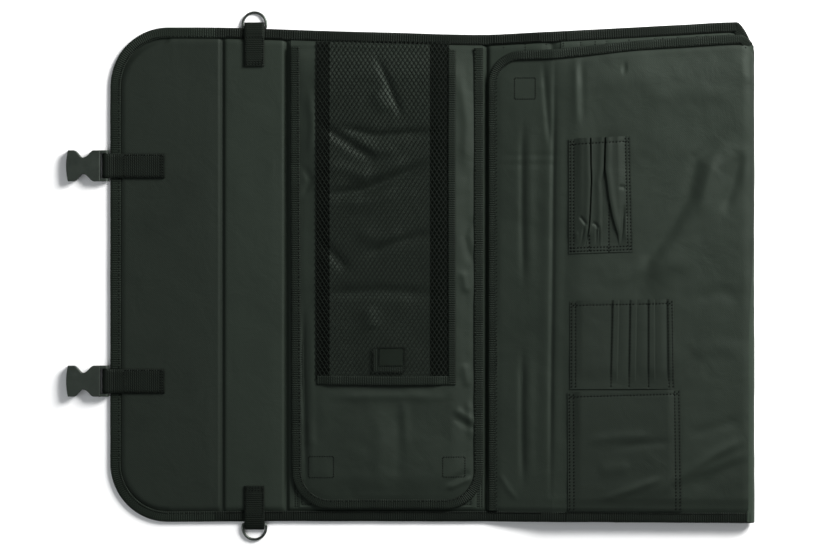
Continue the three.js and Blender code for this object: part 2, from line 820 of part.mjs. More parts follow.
function pleatedPocketPiece() {
  const { left, right, height } = pleatedPocket;
  const inset = pocketSeam + pocketRamp;
  const columnsOf = (y) => {
    const share = (y - pleatedPocketBottom) / height;
    const folds = pleats.flatMap((pleat) => {
      const x = left + pleat.bottom + (pleat.top - pleat.bottom) * share;
      return [x - pleatFold / 2, x + pleatFold / 2];
    });
    return [left, left + pocketSeam, left + inset, ...folds, right - inset, right - pocketSeam, right];
  };
  const full = 1;
  const pleated = 1 + pleatStep / pocketClear;
  const shares = [0, 0, full, full, pleated, pleated, full, full, 0, 0];
  const shareAt = (i) => shares[i];
  const cloth = flatPocket(pleatedPocketBottom, height, pocketClear, columnsOf, shareAt);
  return piece("pleated_pocket", cloth, guardNylon);
}

function cardPocketPiece() {
  const columns = [cardPocket.left];
  const shares = [0];
  for (let i = 0; i + 1 < cardSeams.length; i++) {
    const from = cardPocket.left + cardSeams[i] + cardSeamHalf;
    const to = cardPocket.left + cardSeams[i + 1] - cardSeamHalf;
    columns.push(from, from + cardRamp, to - cardRamp, to);
    shares.push(0, 1, 1, 0);
  }
  columns.push(cardPocket.right);
  shares.push(0);
  const { height } = cardPocket;
  const shareAt = (i) => shares[i];
  const cloth = flatPocket(cardPocketBottom, height, pocketClear, () => columns, shareAt);
  return piece("card_pocket", cloth, guardNylon);
}

function lowerPocketPiece() {
  const { left, right, height } = lowerPocket;
  const inset = pocketSeam + pocketRamp;
  const columns = [left, left + pocketSeam, left + inset, right - inset, right - pocketSeam, right];
  const start = guardFlat - hingeLine;
  const rows = [lowerPocketBottom, start, start + guardClimb, lowerPocketBottom + height];
  const under = (x, y, i) => {
    const near = y + hingeLine;
    const raised = i === 2 || i === 3;
    const lift = raised ? ramp(near, 0, 0, pocketLiftRun, 1) : 0;
    return guardHigh(near) + guardCloth + layerGap + pocketClear * lift;
  };
  return piece("lower_pocket", gridCloth(rows, () => columns, under, pocketCloth), guardNylon);
}

// Webbing tab: a double strip that ends in a loop round a bar. It is drawn from above the lining
// to the bar at (reach, barLevel), with x along the strip.
function webbingTab(name, width, start, reach, stripLevel, barLevel, barRadius) {
  const hole = barRadius + webbingPlay;
  const parts = [
    box(start, reach, -width / 2, width / 2, stripLevel, stripLevel + tabThickness),
    barAlongY(hole + webbing, width, reach, barLevel),
  ];
  if (barLevel + hole < stripLevel) {
    const top = stripLevel + tabThickness;
    parts.push(box(reach - webbing, reach + webbing, -width / 2, width / 2, barLevel, top));
  }
  const whole = join(...parts);
  return piece(name, cut(whole, barAlongY(hole, width + overrun, reach, barLevel)), wovenWebbing);
}

// Side-release socket, bar on the Y axis, mouth towards +x.
function earFrame(frontOfWindow, thickness) {
  const half = buckleWidth / 2;
  const ears = [-1, 1].map((side) => {
    const inside = side * (half - buckleEar);
    const outside = side * half;
    const [low, high] = [Math.min(inside, outside), Math.max(inside, outside)];
    const round = Math.min(buckleRear, thickness / 2);
    const end = new THREE.CylinderGeometry(round, round, buckleEar, roundSides);
    return join(
      end.translate(0, (inside + outside) / 2, 0),
      box(0, frontOfWindow + overrun, low, high, -round, round),
    );
  });
  return join(...ears, barAlongY(buckleBar, buckleWidth - buckleEar, 0, 0));
}

function socketOutline() {
  const half = buckleWidth / 2 - socketBevel;
  const waist = socketWaist / 2 - socketBevel;
  const start = webbingWindow + socketBevel;
  const mouth = socketLength - socketBevel;
  const collar = mouth - socketCollar;
  const rise = socketWaistAt - start;
  const fall = collar - socketWaistAt;
  const shape = new THREE.Shape();
  shape.moveTo(start, -half);
  shape.lineTo(start + rise / 3, -half);
  shape.bezierCurveTo(start + rise / 2, -half, socketWaistAt - rise / 3, -waist, socketWaistAt, -waist);
  shape.bezierCurveTo(socketWaistAt + fall / 2, -waist, collar, -half, collar + socketCollar / 3, -half);
  shape.lineTo(mouth - socketMouthBulge, -half);
  shape.quadraticCurveTo(mouth + socketMouthBulge, 0, mouth - socketMouthBulge, half);
  shape.lineTo(collar + socketCollar / 3, half);
  shape.bezierCurveTo(collar, half, socketWaistAt + fall / 2, waist, socketWaistAt, waist);
  shape.bezierCurveTo(socketWaistAt - rise / 3, waist, start + rise / 2, half, start + rise / 3, half);
  shape.lineTo(start, half);
  return shape;
}

function buckleSocket(name) {
  const body = rounded(socketOutline(), socketThickness, socketBevel, arcSteps);
  const cavityHalf = socketThickness / 2 - socketWall;
  const inside = socketCavity / 2;
  const cavityStart = webbingWindow + socketBlock;
  const cavity = box(cavityStart, socketLength + overrun, -inside, inside, -cavityHalf, cavityHalf);
  const hollow = cut(body, cavity);
  return piece(name, join(hollow, earFrame(webbingWindow, 2 * buckleRear)), acetal);
}

// Plug: ears and bar, shoulder and centre guide, and two spring arms of its own nodes.
function bucklePlug(name) {
  const half = buckleWidth / 2;
  const shoulderEnd = webbingWindow + plugShoulder;
  const body = new THREE.Shape();
  body.moveTo(webbingWindow, -half);
  body.lineTo(shoulderEnd - plugShoulder / 4, -half);
  body.quadraticCurveTo(shoulderEnd, -half, shoulderEnd, plugShoulder / 4 - half);
  body.lineTo(shoulderEnd, half - plugShoulder / 4);
  body.quadraticCurveTo(shoulderEnd, half, shoulderEnd - plugShoulder / 4, half);
  body.lineTo(webbingWindow, half);
  const shoulder = rounded(body, plugThickness, 0, smallArcSteps);
  const guideHalf = plugGuideWidth / 2;
  const guide = new THREE.Shape();
  guide.moveTo(shoulderEnd - overrun, -guideHalf);
  guide.lineTo(shoulderEnd + plugGuide - guideHalf, -guideHalf);
  guide.absarc(shoulderEnd + plugGuide - guideHalf, 0, guideHalf, -Math.PI / 2, Math.PI / 2, false);
  guide.lineTo(shoulderEnd - overrun, guideHalf);
  const tongue = extruded(guide, plugGuideThickness, arcSteps / 2);
  tongue.translate(0, 0, -plugGuideThickness / 2);
  return piece(name, join(shoulder, tongue, earFrame(webbingWindow, plugThickness)), acetal);
}

function plugArm(name, side) {
  const start = webbingWindow + plugShoulder + 2 * foldGap;
  const end = start + plugArmLength;
  const inner = plugArmAt - plugArmWidth / 2;
  const outer = plugArmAt + plugArmWidth / 2;
  const barb = start + plugBarbAt;
  const shape = new THREE.Shape();
  shape.moveTo(start, side * inner);
  shape.lineTo(end - plugArmWidth, side * inner);
  shape.quadraticCurveTo(end, side * inner, end, side * (inner + plugArmWidth / 2));
  shape.lineTo(barb + plugBarbTop, side * (outer + plugBarb));
  shape.lineTo(barb, side * (outer + plugBarb));
  shape.lineTo(barb, side * outer);
  shape.lineTo(start, side * outer);
  const arm = extruded(shape, plugArmThickness, smallArcSteps);
  return piece(name, arm.translate(0, 0, -plugArmThickness / 2), acetal);
}

// D-ring about the X axis at its bar, its bow towards +y.
function dRing(name) {
  const path = [];
  const corner = (x, y, from) => {
    for (let i = 0; i <= bendSteps; i++) {
      const turn = from + (i / bendSteps) * (Math.PI / 2);
      path.push([x + ringCorner * Math.cos(turn), y + ringCorner * Math.sin(turn), turn]);
    }
  };
  corner(ringHalf - ringCorner, ringCorner, -Math.PI / 2);
  path.push([ringHalf, ringSide, 0]);
  for (let i = 1; i < 2 * arcSteps; i++) {
    const turn = (i / (2 * arcSteps)) * Math.PI;
    path.push([ringHalf * Math.cos(turn), ringSide + (ringDepth - ringSide) * Math.sin(turn), turn]);
  }
  path.push([-ringHalf, ringSide, Math.PI]);
  corner(ringCorner - ringHalf, ringCorner, Math.PI);
  const sections = path.map(([x, y, turn]) => {
    const ring = [];
    for (let j = 0; j < wireSides; j++) {
      const round = (j / wireSides) * 2 * Math.PI;
      const out = ringWire * Math.cos(round);
      ring.push([x + out * Math.cos(turn), y + out * Math.sin(turn), ringWire * Math.sin(round)]);
    }
    return ring;
  });
  const { vertices, faces } = loft(sections, true);
  return piece(name, facingOut(closedGeometry(vertices, faces)), gunmetal);
}

// Assembly
const model = new THREE.Group();
const flatFold = { inward: quarterFold, outward: 0 };
const rolledFold = { inward: quarterFold, outward: quarterFold };

const backFold = { inward: backFoldShare, outward: 0 };
const frontFold = { inward: frontFoldShare, outward: 0 };

const backPanel = middlePanel("back_panel", backWidth, flatFold, backFold);
backPanel.position.x = -backWidth / 2;
backPanel.add(knifeSlots("back_knife_slots", backWidth, backSlotMargin, backSlotMargin));
model.add(backPanel, backGuardFlap(), meshNet(), meshBinding(), meshHookPad());

const firstSpine = middlePanel("first_spine", firstSpineWidth, flatFold, flatFold);
firstSpine.position.x = -backWidth / 2 - firstSpineWidth;
model.add(firstSpine);

// D-rings hang from tabs over both ends of the first spine.
const ringLoop = ringWire + webbingPlay + webbing;
const ringBarY = panelTop + ringEdgeGap + ringLoop;
const ringBarLevel = ringLoop + layerGap;
const ringTilt = Math.asin((ringBarLevel - ringWire - layerGap / 2) / ringDepth);
for (const [end, side] of ends) {
  const turned = new THREE.Group();
  turned.rotation.z = (side * Math.PI) / 2;
  turned.position.x = firstSpineWidth / 2;
  const start = panelTop - ringTabLength;
  const levels = [webbingLevel, ringBarLevel];
  turned.add(webbingTab(end + "_ring_tab", ringWebbing, start, ringBarY, ...levels, ringWire));
  const hung = new THREE.Group();
  hung.position.set(firstSpineWidth / 2, side * ringBarY, ringBarLevel);
  hung.rotation.set(-side * ringTilt, 0, side === 1 ? 0 : Math.PI, "XYZ");
  hung.add(dRing(end + "_d_ring"));
  firstSpine.add(turned, hung);
}

// The closing flap is built with its free end towards +x, and turned round.
const closingFlap = endPanel("closing_flap", closingFlapWidth, flapCornerRadius, flatFold);
closingFlap.rotation.z = Math.PI;
closingFlap.position.x = -backWidth / 2 - firstSpineWidth;
const buckleBarX = closingFlapWidth + socketEdgeGap + buckleRear;
const buckleLevel = socketThickness / 2;
for (const [end, side] of ends) {
  const placed = new THREE.Group();
  placed.position.y = -(side * buckleSpacing) / 2 - buckleOffset;
  const start = closingFlapWidth - buckleTabLength;
  const levels = [webbingLevel, buckleLevel];
  const name = end + "_buckle_webbing";
  placed.add(webbingTab(name, buckleWebbing, start, buckleBarX, ...levels, buckleBar));
  const socket = buckleSocket(end + "_buckle_socket");
  socket.position.set(buckleBarX, 0, buckleLevel);
  placed.add(socket);
  closingFlap.add(placed);
}
model.add(closingFlap);

// The second spine slopes up to the front panel.
const spineFrame = new THREE.Group();
spineFrame.position.set(backWidth / 2, 0, pivotLevel);
spineFrame.rotation.y = -spineSlope;
const spineParts = middlePanel("second_spine", secondSpineWidth, backFold, frontFold);
spineParts.position.z = -pivotLevel;
spineParts.add(sideGuardPieces());
spineFrame.add(spineParts);
model.add(spineFrame);

// The front panel with its slots, guard flap, pockets and plugs.
const frontPanel = middlePanel("front_panel", frontWidth, frontFold, rolledFold);
frontPanel.position.set(frontFoldX, 0, frontLift);
const frontSlots = knifeSlots("front_knife_slots", frontWidth, frontSlotFarMargin, frontSlotMargin);
const turnedSlots = new THREE.Group();
turnedSlots.rotation.z = Math.PI;
turnedSlots.position.x = frontWidth;
turnedSlots.add(frontSlots);
frontPanel.add(turnedSlots, frontGuardCloth(), frontGuardBinding(), guardCrease());
frontPanel.add(pleatedPocketPiece(), cardPocketPiece(), lowerPocketPiece());

const plugBarLevel = plugThickness / 2 + layerGap - frontLift;
for (const [end, side] of ends) {
  const y = (side * buckleSpacing) / 2 + buckleOffset;
  const levels = [-layerGap - tabThickness, plugBarLevel];
  const name = end + "_plug_webbing";
  const tab = webbingTab(name, buckleWebbing, plugTabStart, plugBarAt, ...levels, buckleBar);
  tab.position.y = y;
  const folded = new THREE.Group();
  folded.position.set(plugBarAt, y, plugBarLevel);
  folded.rotation.z = Math.PI;
  folded.add(bucklePlug(end + "_buckle_plug"));
  folded.add(plugArm(end + "_plug_upper_arm", -1), plugArm(end + "_plug_lower_arm", 1));
  frontPanel.add(tab, folded);
}
model.add(frontPanel);

// The fold strip stands upright at the right end of the front panel.
function foldStrip() {
  const low = cutBack(pivotLevel, 0, 0, quarterFold);
  const high = cutBack(pivotLevel + stripLining, quarterFold);
  const profile = [
    [low, 0],
    [stripWidth - low, 0],
    [stripWidth - foldGap, pivotLevel],
    [stripWidth - high, pivotLevel + stripLining],
    [high, pivotLevel + stripLining],
    [foldGap, pivotLevel],
  ];
  const stations = [-1, 1].map((side) => (x, z) => [x, side * (panelTop - layerGap), z]);
  return piece("fold_strip", sweep(profile, stations), liningNylon);
}

const stripFrame = new THREE.Group();
stripFrame.position.set(frontFoldX + frontWidth, 0, frontLift + pivotLevel);
stripFrame.rotation.y = Math.PI / 2;
const strip = foldStrip();
strip.position.z = -pivotLevel;
stripFrame.add(strip);
model.add(stripFrame);

// The leaf is tucked under the front panel, its lining down.
const leafFrame = new THREE.Group();
leafFrame.position.set(frontFoldX + frontWidth, 0, frontLift + pivotLevel - stripWidth);
leafFrame.rotation.y = Math.PI;
const leaf = endPanel("leaf", leafWidth, leafCornerRadius, rolledFold);
leaf.position.z = -pivotLevel;
leafFrame.add(leaf);
model.add(leafFrame);

export default model;
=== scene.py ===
"""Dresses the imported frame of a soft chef's knife case, opened flat.

The shell is five panels of coated nylon over boards, edged with ribbed tape: a closing flap with
two buckles, a spine with two D-rings, the back panel, a second spine and the front panel, with a
leaf tucked under the front panel. Two guard flaps cover the knife slots. Lengths in the makers
below are in millimetres, in the frame of the CAD; they become metres where a mesh is made. Where the
photo shows a seam, a fold or an edge, its place was read off there: one pixel is one millimetre.
"""

import json
import math

import bpy
import numpy as np
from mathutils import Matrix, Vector


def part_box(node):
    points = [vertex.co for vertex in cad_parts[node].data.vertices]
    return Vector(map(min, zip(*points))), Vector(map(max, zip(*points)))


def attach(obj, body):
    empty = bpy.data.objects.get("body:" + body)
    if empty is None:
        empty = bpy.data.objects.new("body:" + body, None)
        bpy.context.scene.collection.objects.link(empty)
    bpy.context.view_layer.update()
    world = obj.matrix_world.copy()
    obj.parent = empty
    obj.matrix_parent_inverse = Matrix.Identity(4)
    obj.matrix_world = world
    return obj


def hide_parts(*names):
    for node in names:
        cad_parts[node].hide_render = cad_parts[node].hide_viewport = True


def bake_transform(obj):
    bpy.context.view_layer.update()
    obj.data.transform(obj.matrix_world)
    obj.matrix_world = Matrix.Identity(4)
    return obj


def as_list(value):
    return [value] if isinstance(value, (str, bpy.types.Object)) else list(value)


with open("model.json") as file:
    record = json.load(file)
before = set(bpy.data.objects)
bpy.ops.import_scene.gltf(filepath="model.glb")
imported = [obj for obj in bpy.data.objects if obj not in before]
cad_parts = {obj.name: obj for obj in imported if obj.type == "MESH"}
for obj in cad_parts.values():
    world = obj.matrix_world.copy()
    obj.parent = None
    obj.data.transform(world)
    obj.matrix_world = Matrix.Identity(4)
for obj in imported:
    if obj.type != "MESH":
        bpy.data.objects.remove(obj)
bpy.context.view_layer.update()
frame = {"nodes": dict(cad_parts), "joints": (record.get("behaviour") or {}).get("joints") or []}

MM = 0.001
hinge = {joint["name"]: Vector(joint["pos_m"]) / MM for joint in frame["joints"]}

# Sizes

flap_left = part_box("closing_flap_binding")[0].x / MM
flap_fold = hinge["closing_flap_fold"].x
spine_fold = hinge["first_spine_fold"].x
second_fold = hinge["second_spine_fold"].x
front_fold = hinge["front_fold"].x
front_edge = hinge["strip_fold"].x
roll_from = front_edge - 5.5
front_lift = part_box("front_panel_outer_cloth")[0].z / MM
slope = front_lift / (front_fold - second_fold)
case_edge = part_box("back_panel_top_binding")[1].y / MM
guard_hinge = hinge["back_guard_flap_lift"].y
corner_radius = 58
cut_length = 488

# Heights over the underside of the shell: its folds, the edge of a lining, a lining on its board
pivot = 0.8
edge_level = 1.65
board_level = 3.9

# Cloth and tapes: how thick, how wide, how far a cloth's edge lies inside its tape, and the stitches
cloth = 0.6
shell_thick = 0.8
tape = 0.6
binding_width = 10.5
binding_top = 3.8
guard_tape = 9.5
cloth_inset = 0.85
guard_inset = 0.9
stitch_inset = 1.6
guard_stitch_inset = 1.5

# Heights of the guard flaps: under a tape, beside it, near the hinge and at the highest, and tapes
under_tape = 3.1
beside_tape = 5.2
guard_low = 6.45
guard_high = 10.1
back_tape_low, back_tape_high = 4.25, 7.35
front_tape_low, front_tape_high = 4.1, 7.1


# Shaping


def smooth(share):
    share = np.clip(share, 0, 1)
    return share * share * (3 - 2 * share)


def climb(value, start, run):
    """0 before start, 1 once value is past it by run, with a smooth rise between."""
    return smooth((value - start) / run)


def traced(value, points):
    """A line through a few (value, height) points, with its corners eased."""
    places, heights = zip(*points)
    value, ease = np.asarray(value, float), 14
    return sum(np.interp(value + shift, places, heights) for shift in (-ease, 0, ease)) / 3


def crumple(x, y, size, seed):
    """Smooth chance hills and hollows about size across, from -1 to 1."""
    side, away = 64, 400
    table = np.random.default_rng(seed).uniform(-1, 1, (side, side))
    total = 0
    for turn, share, scale in ((0.5, 0.65, 1.0), (1.7, 0.35, 0.46)):
        u = (x * math.cos(turn) + y * math.sin(turn)) / (size * scale) + away
        v = (y * math.cos(turn) - x * math.sin(turn)) / (size * scale) + away
        i, j = np.floor(u).astype(int), np.floor(v).astype(int)
        s, t = smooth(u - i), smooth(v - j)
        near, far = (
            table[i % side, k % side] * (1 - s) + table[(i + 1) % side, k % side] * s
            for k in (j, j + 1)
        )
        total = total + share * (near * (1 - t) + far * t)
    return total


def gap_to(x, y, start, end):
    """Distance from a stretch of line, and how far along it the nearest point is."""
    (x0, y0), (x1, y1) = start, end
    length = math.hypot(x1 - x0, y1 - y0)
    share = np.clip(((x - x0) * (x1 - x0) + (y - y0) * (y1 - y0)) / length**2, 0, 1)
    gap = np.hypot(x - x0 - share * (x1 - x0), y - y0 - share * (y1 - y0))
    return gap, share * length, length


def pressed(x, y, lines):
    """Height of given folds; each line has its points, its height and half its width."""
    x, y = np.broadcast_arrays(np.asarray(x, float), np.asarray(y, float))
    total = np.zeros(x.shape)
    for points, height, half in lines:
        nearest, place, done = np.full(x.shape, 1e9), np.zeros(x.shape), 0
        for start, end in zip(points, points[1:]):
            gap, run, length = gap_to(x, y, start, end)
            closer = gap < nearest
            nearest = np.where(closer, gap, nearest)
            place = np.where(closer, done + run, place)
            done += length
        fade = climb(np.minimum(place, done - place), -0.04 * done, 0.3 * done)
        total += height * fade * np.exp(-((nearest / half) ** 2))
    return total


def sewn_in(x, y, lines, depth, half=0.7):
    """The cloth is drawn down along each row of stitches."""
    x, y = np.broadcast_arrays(np.asarray(x, float), np.asarray(y, float))
    nearest = np.full(x.shape, 1e9)
    for line in lines:
        for start, end in zip(line, line[1:]):
            nearest = np.minimum(nearest, gap_to(x, y, start, end)[0])
    return -depth * np.exp(-((nearest / half) ** 2))


def ground(x):
    """Underside of the shell: flat, up the second spine, then flat under the front panel."""
    return np.clip((np.asarray(x, float) - second_fold) * slope, 0, front_lift)


def falling(x, start, run, depth):
    """0 up to start, then down by depth over run, slowly at first."""
    return depth * np.clip((np.asarray(x, float) - start) / run, 0, 1) ** 1.6


def corner_drop(x):
    """The top right corner falls away where its tape is folded round the edge."""
    return falling(x, 349, 18.3, 30)


def top_edge(x):
    """The top edge of the case dips in the middle and rises over the front panel."""
    dip = [(-276, 3.6), (-166, 3.4), (-56, 0), (26, -2.4), (100, -4.2), (165, -1.2), (350, 8.5)]
    return case_edge + traced(x, dip) - corner_drop(x)


def low_edge(x):
    """The bottom edge of the case is nearly straight."""
    return -case_edge - traced(x, [(-276, 1.2), (-100, 0), (200, 0.4), (350, 1.4)])


# Mesh makers


def make(name, points, faces, material, across=None, thickness=0):
    """A mesh from points in mm, with the plan as its texture map, or across if that is given."""
    points = np.asarray(points, float)
    mesh = bpy.data.meshes.new(name)
    mesh.from_pydata((points * MM).tolist(), [], faces)
    mesh.polygons.foreach_set("use_smooth", [True] * len(mesh.polygons))
    crisp_edges(mesh)
    flat = points[:, :2] if across is None else np.asarray(across, float)
    corners = np.zeros(len(mesh.loops), int)
    mesh.loops.foreach_get("vertex_index", corners)
    mesh.uv_layers.new(name="UVMap").data.foreach_set("uv", flat[corners].ravel())
    mesh.materials.append(material)
    piece = bpy.data.objects.new(name, mesh)
    bpy.context.scene.collection.objects.link(piece)
    if thickness:
        solid = piece.modifiers.new("thickness", "SOLIDIFY")
        solid.thickness = thickness * MM
        solid.offset = -1
        solid.use_rim = True
    return piece


def crisp_edges(mesh):
    """Open edges and the rims of end faces stay crisp under smooth shading."""
    edges = np.zeros(len(mesh.loops), int)
    mesh.loops.foreach_get("edge_index", edges)
    sizes = np.zeros(len(mesh.polygons), int)
    mesh.polygons.foreach_get("loop_total", sizes)
    rims = np.repeat(sizes > 4, sizes)
    sharp = np.bincount(edges, minlength=len(mesh.edges)) == 1
    sharp[edges[rims]] = True
    mesh.attributes.new("sharp_edge", "BOOLEAN", "EDGE").data.foreach_set("value", sharp)


def grid_faces(rows, columns, flip=False, ring=False):
    """Faces between rows of points; a ring joins each row's end to its start."""
    corner = np.arange(rows * columns).reshape(rows, columns)
    after = np.roll(corner, -1, axis=1) if ring else corner[:, 1:]
    before = corner if ring else corner[:, :-1]
    quads = np.stack([before[:-1], after[:-1], after[1:], before[1:]], -1).reshape(-1, 4)
    return (quads[:, ::-1] if flip else quads).tolist()


def even(low, high, step):
    """Numbers from low to high, about a step apart."""
    return np.linspace(low, high, max(4, round((high - low) / step)))


def spread(low, high, sides, step, gather=0.0, upright=False):
    """Plan points of a cloth: rows from low to high, each from one side to the other.

    A side is a number or a function of the row. Rows lie along y, or along x if upright is given.
    gather draws them together towards low and high.
    """
    turn = 2 * math.pi * even(0, 1, step / (high - low))
    rows = low + (high - low) * (turn - gather * np.sin(turn)) / (2 * math.pi)
    first, last = (
        np.array([float(side(row) if callable(side) else side) for row in rows]) for side in sides
    )
    share = np.linspace(0, 1, max(3, round(float((last - first).max()) / step)))
    crossing = first[:, None] + (last - first)[:, None] * share
    running = np.repeat(rows[:, None], len(share), axis=1)
    return (crossing, running) if upright else (running, crossing)


def lay(name, plan, height, material, thickness=cloth):
    """A cloth whose upper face is height(x, y) over its plan."""
    x, y = plan
    points = np.stack([x, y, height(x, y)], -1)
    along, onwards = points[0, 1] - points[0, 0], points[1, 0] - points[0, 0]
    faces = grid_faces(*x.shape, flip=along[0] * onwards[1] < along[1] * onwards[0])
    return make(name, points.reshape(-1, 3), faces, material, thickness=thickness)


def swept(name, profile, stations, material, closed=False):
    """A closed profile of (across, up) points, swept through (middle, across, up) stations."""
    profile = np.asarray(profile, float)
    middles, acrosses, ups = (np.asarray(part, float) for part in stations)
    points = middles[:, None] + profile[None, :, :1] * acrosses[:, None]
    points = points + profile[None, :, 1:] * ups[:, None]
    rows, columns = points.shape[:2]
    faces = grid_faces(rows, columns, ring=True)
    last = (rows - 1) * columns
    if closed:
        faces += [[last + k, last + (k + 1) % columns, (k + 1) % columns, k] for k in range(columns)]
    else:
        faces += [list(range(columns))[::-1], list(range(last, last + columns))]
    points = points.reshape(-1, 3)
    flat = np.meshgrid(distance_run(middles), distance_run(profile), indexing="ij")
    flat = np.stack(flat, -1).reshape(-1, 2)
    if outward(points, faces) < 0:
        faces = [face[::-1] for face in faces]
    return make(name, points, faces, material, flat)


def outward(points, faces):
    """Above 0 where the faces of a closed mesh look outwards."""
    middle = points.mean(axis=0)
    quads = np.array([face for face in faces if len(face) == 4])
    a, b, c, d = (points[quads[:, k]] - middle for k in range(4))
    total = np.einsum("ij,ij->i", a, np.cross(b, c)) + np.einsum("ij,ij->i", a, np.cross(c, d))
    for face in faces:
        if len(face) > 4:
            fan = points[face] - middle
            total = np.append(total, np.cross(fan[1:-1], fan[2:]) @ fan[0])
    return total.sum()


def together(name, pieces):
    """Several pieces as one."""
    bpy.ops.object.select_all(action="DESELECT")
    for piece in pieces:
        piece.select_set(True)
    bpy.context.view_layer.objects.active = pieces[0]
    bpy.ops.object.join()
    pieces[0].name = name
    return pieces[0]


def curved(points, step, closed=False):
    """Points a step apart on a smooth line through the given ones."""
    points = np.asarray(points, float)
    count = len(points)
    result = []
    for i in range(count if closed else count - 1):
        if closed:
            a, b, c, d = (points[(i + k) % count] for k in (-1, 0, 1, 2))
        else:
            b, c = points[i], points[i + 1]
            a = points[i - 1] if i else 2 * b - c
            d = points[i + 2] if i + 2 < count else 2 * c - b
        steps = max(1, round(float(np.linalg.norm(c - b)) / step))
        for t in np.arange(steps) / steps:
            bend = t * t * (a - 2.5 * b + 2 * c - 0.5 * d) + t**3 * (1.5 * (b - c) + 0.5 * (d - a))
            result.append(b + 0.5 * t * (c - a) + bend)
    if not closed:
        result.append(points[-1])
    return np.array(result)


def unit(vector):
    """Each vector made 1 long."""
    vector = np.asarray(vector, float)
    return vector / np.maximum(np.linalg.norm(vector, axis=-1, keepdims=True), 1e-9)


def distance_run(line):
    """Distance along a line at each of its points."""
    return np.concatenate([[0], np.cumsum(np.linalg.norm(np.diff(line, axis=0), axis=1))])


def fixed(piece, body, *nodes):
    """The piece rides on a body, in place of the solids named."""
    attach(piece, body)
    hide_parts(*nodes)


# Outlines


def rounded(past, radius, spare=0.0):
    """How far a round corner lies in from its edge, where a row is past the corner's start."""
    reach = min(max(0.0, past), radius - spare)
    return radius - math.sqrt(radius**2 - reach**2)


def rim_of(side, foot, radius):
    """Distance in from two edges, side and foot away, that meet in a round corner."""
    dx, dy = radius - side, radius - foot
    turned = radius - np.hypot(np.maximum(dx, 0), np.maximum(dy, 0))
    return np.where((dx > 0) & (dy > 0), turned, np.minimum(side, foot))


def go(outline, points, way):
    """Adds the points of a straight edge to an outline, with the way inwards from it."""
    line, inward = outline
    line += [(float(x), float(y), 0) for x, y in points]
    inward += [way] * len(points)


def go_round(outline, middle, radius, turns, shape=None):
    """Adds a round corner to an outline; shape(x, y) moves its points up or down."""
    line, inward = outline
    for turn in np.radians(turns):
        across, up = math.cos(turn), math.sin(turn)
        x, y = middle[0] + radius * across, middle[1] + radius * up
        line.append((x, float(shape(x, y)) if shape else y, 0))
        inward.append((-across, -up, 0))


# Tapes, webbing and thread


def tape_profile(width, bottom, top):
    """Ribbed tape folded over an edge, as a closed profile; across runs inwards from the edge."""
    middle, half = (bottom + top) / 2, (top - bottom) / 2
    bend = [math.radians(angle) for angle in (-90, -50, -15, 15, 50, 90)]
    nose = [0.8 - 0.8 * math.cos(a) for a in bend]
    outer = [(x, middle + half * math.sin(a)) for x, a in zip(nose, bend)]
    inner = [(x + tape, middle + (half - tape) * math.sin(a)) for x, a in zip(nose, bend)]
    spots = [width, width - 1.2, width * 0.6, width * 0.3]
    under = [(across, bottom) for across in spots]
    over = [(across, top) for across in reversed(spots)]
    back = [(across, top - tape) for across in spots]
    front = [(across, bottom + tape) for across in reversed(spots)]
    return under + outer + over + back + inner[::-1] + front


rib_pitch = 2.3
web_pitch = 2.1


def edging(name, line, inward, width=binding_width, bottom=0, top=binding_top, up=None, woven=None):
    """Ribbed tape folded over the edge that a line of (x, y, z) points follows."""
    line, inward = np.asarray(line, float), np.asarray(inward, float)
    up = np.tile([0, 0, 1.0], (len(line), 1)) if up is None else np.asarray(up, float)
    way = 1 if line[1][0] >= line[0][0] else -1
    run = distance_run(line)
    spots = np.linspace(0, run[-1], max(8, round(run[-1] / (rib_pitch / 4))))
    line, inward, up = (
        np.stack([np.interp(spots, run, part[:, k]) for k in range(3)], -1)
        for part in (line, inward, up)
    )
    inward, up = unit(inward), unit(up)
    rib = np.cos(2 * math.pi * (line[0][0] + way * spots) / rib_pitch)[:, None]
    wave = crumple(line[:, 0], line[:, 1], 34, 51)[:, None]
    swell = 1 + 0.035 * rib + 0.03 * crumple(line[:, 0], line[:, 1], 20, 52)[:, None]
    low = up * bottom * (1 - swell)
    stations = (line + low - inward * (0.2 * wave + 0.12 * rib), inward, up * swell)
    piece = swept(name, tape_profile(width, bottom, top), stations, woven or edge_tape)
    return piece


def webbing(name, line, across, width, thickness):
    """A flat woven strap along a line, with rounded edges and ribs across it."""
    line = curved(line, 0.52)
    run = unit(np.gradient(line, axis=0))
    across = np.tile(np.asarray(across, float), (len(line), 1))
    half, lip = width / 2, thickness / 2
    profile = []
    for side, turns in ((1, (-60, 0, 60)), (-1, (120, 180, 240))):
        for turn in map(math.radians, turns):
            profile.append((side * (half - lip) + lip * math.cos(turn), lip * math.sin(turn)))
        profile += [(side * half * k, side * lip) for k in (0.7, 0.35, 0, -0.35, -0.7)]
    rib = np.cos(2 * math.pi * distance_run(line) / web_pitch)[:, None]
    stations = (line, across * (1 + 0.012 * rib), np.cross(run, across) * (1 + 0.2 * rib))
    piece = swept(name, profile, stations, strap)
    return piece


stitch_shape = np.array([
    (-0.5, 0, -0.1), (0.5, 0, -0.1), (-0.3, 0.5, 0.08), (0.3, 0.5, 0.08),
    (-0.3, -0.5, 0.08), (0.3, -0.5, 0.08), (-0.24, 0, 0.36), (0.24, 0, 0.36),
])
stitch_sides = [
    (0, 6, 2), (0, 4, 6), (1, 3, 7), (1, 7, 5), (2, 6, 7, 3), (4, 5, 7, 6), (0, 2, 3, 1), (0, 1, 5, 4),
]


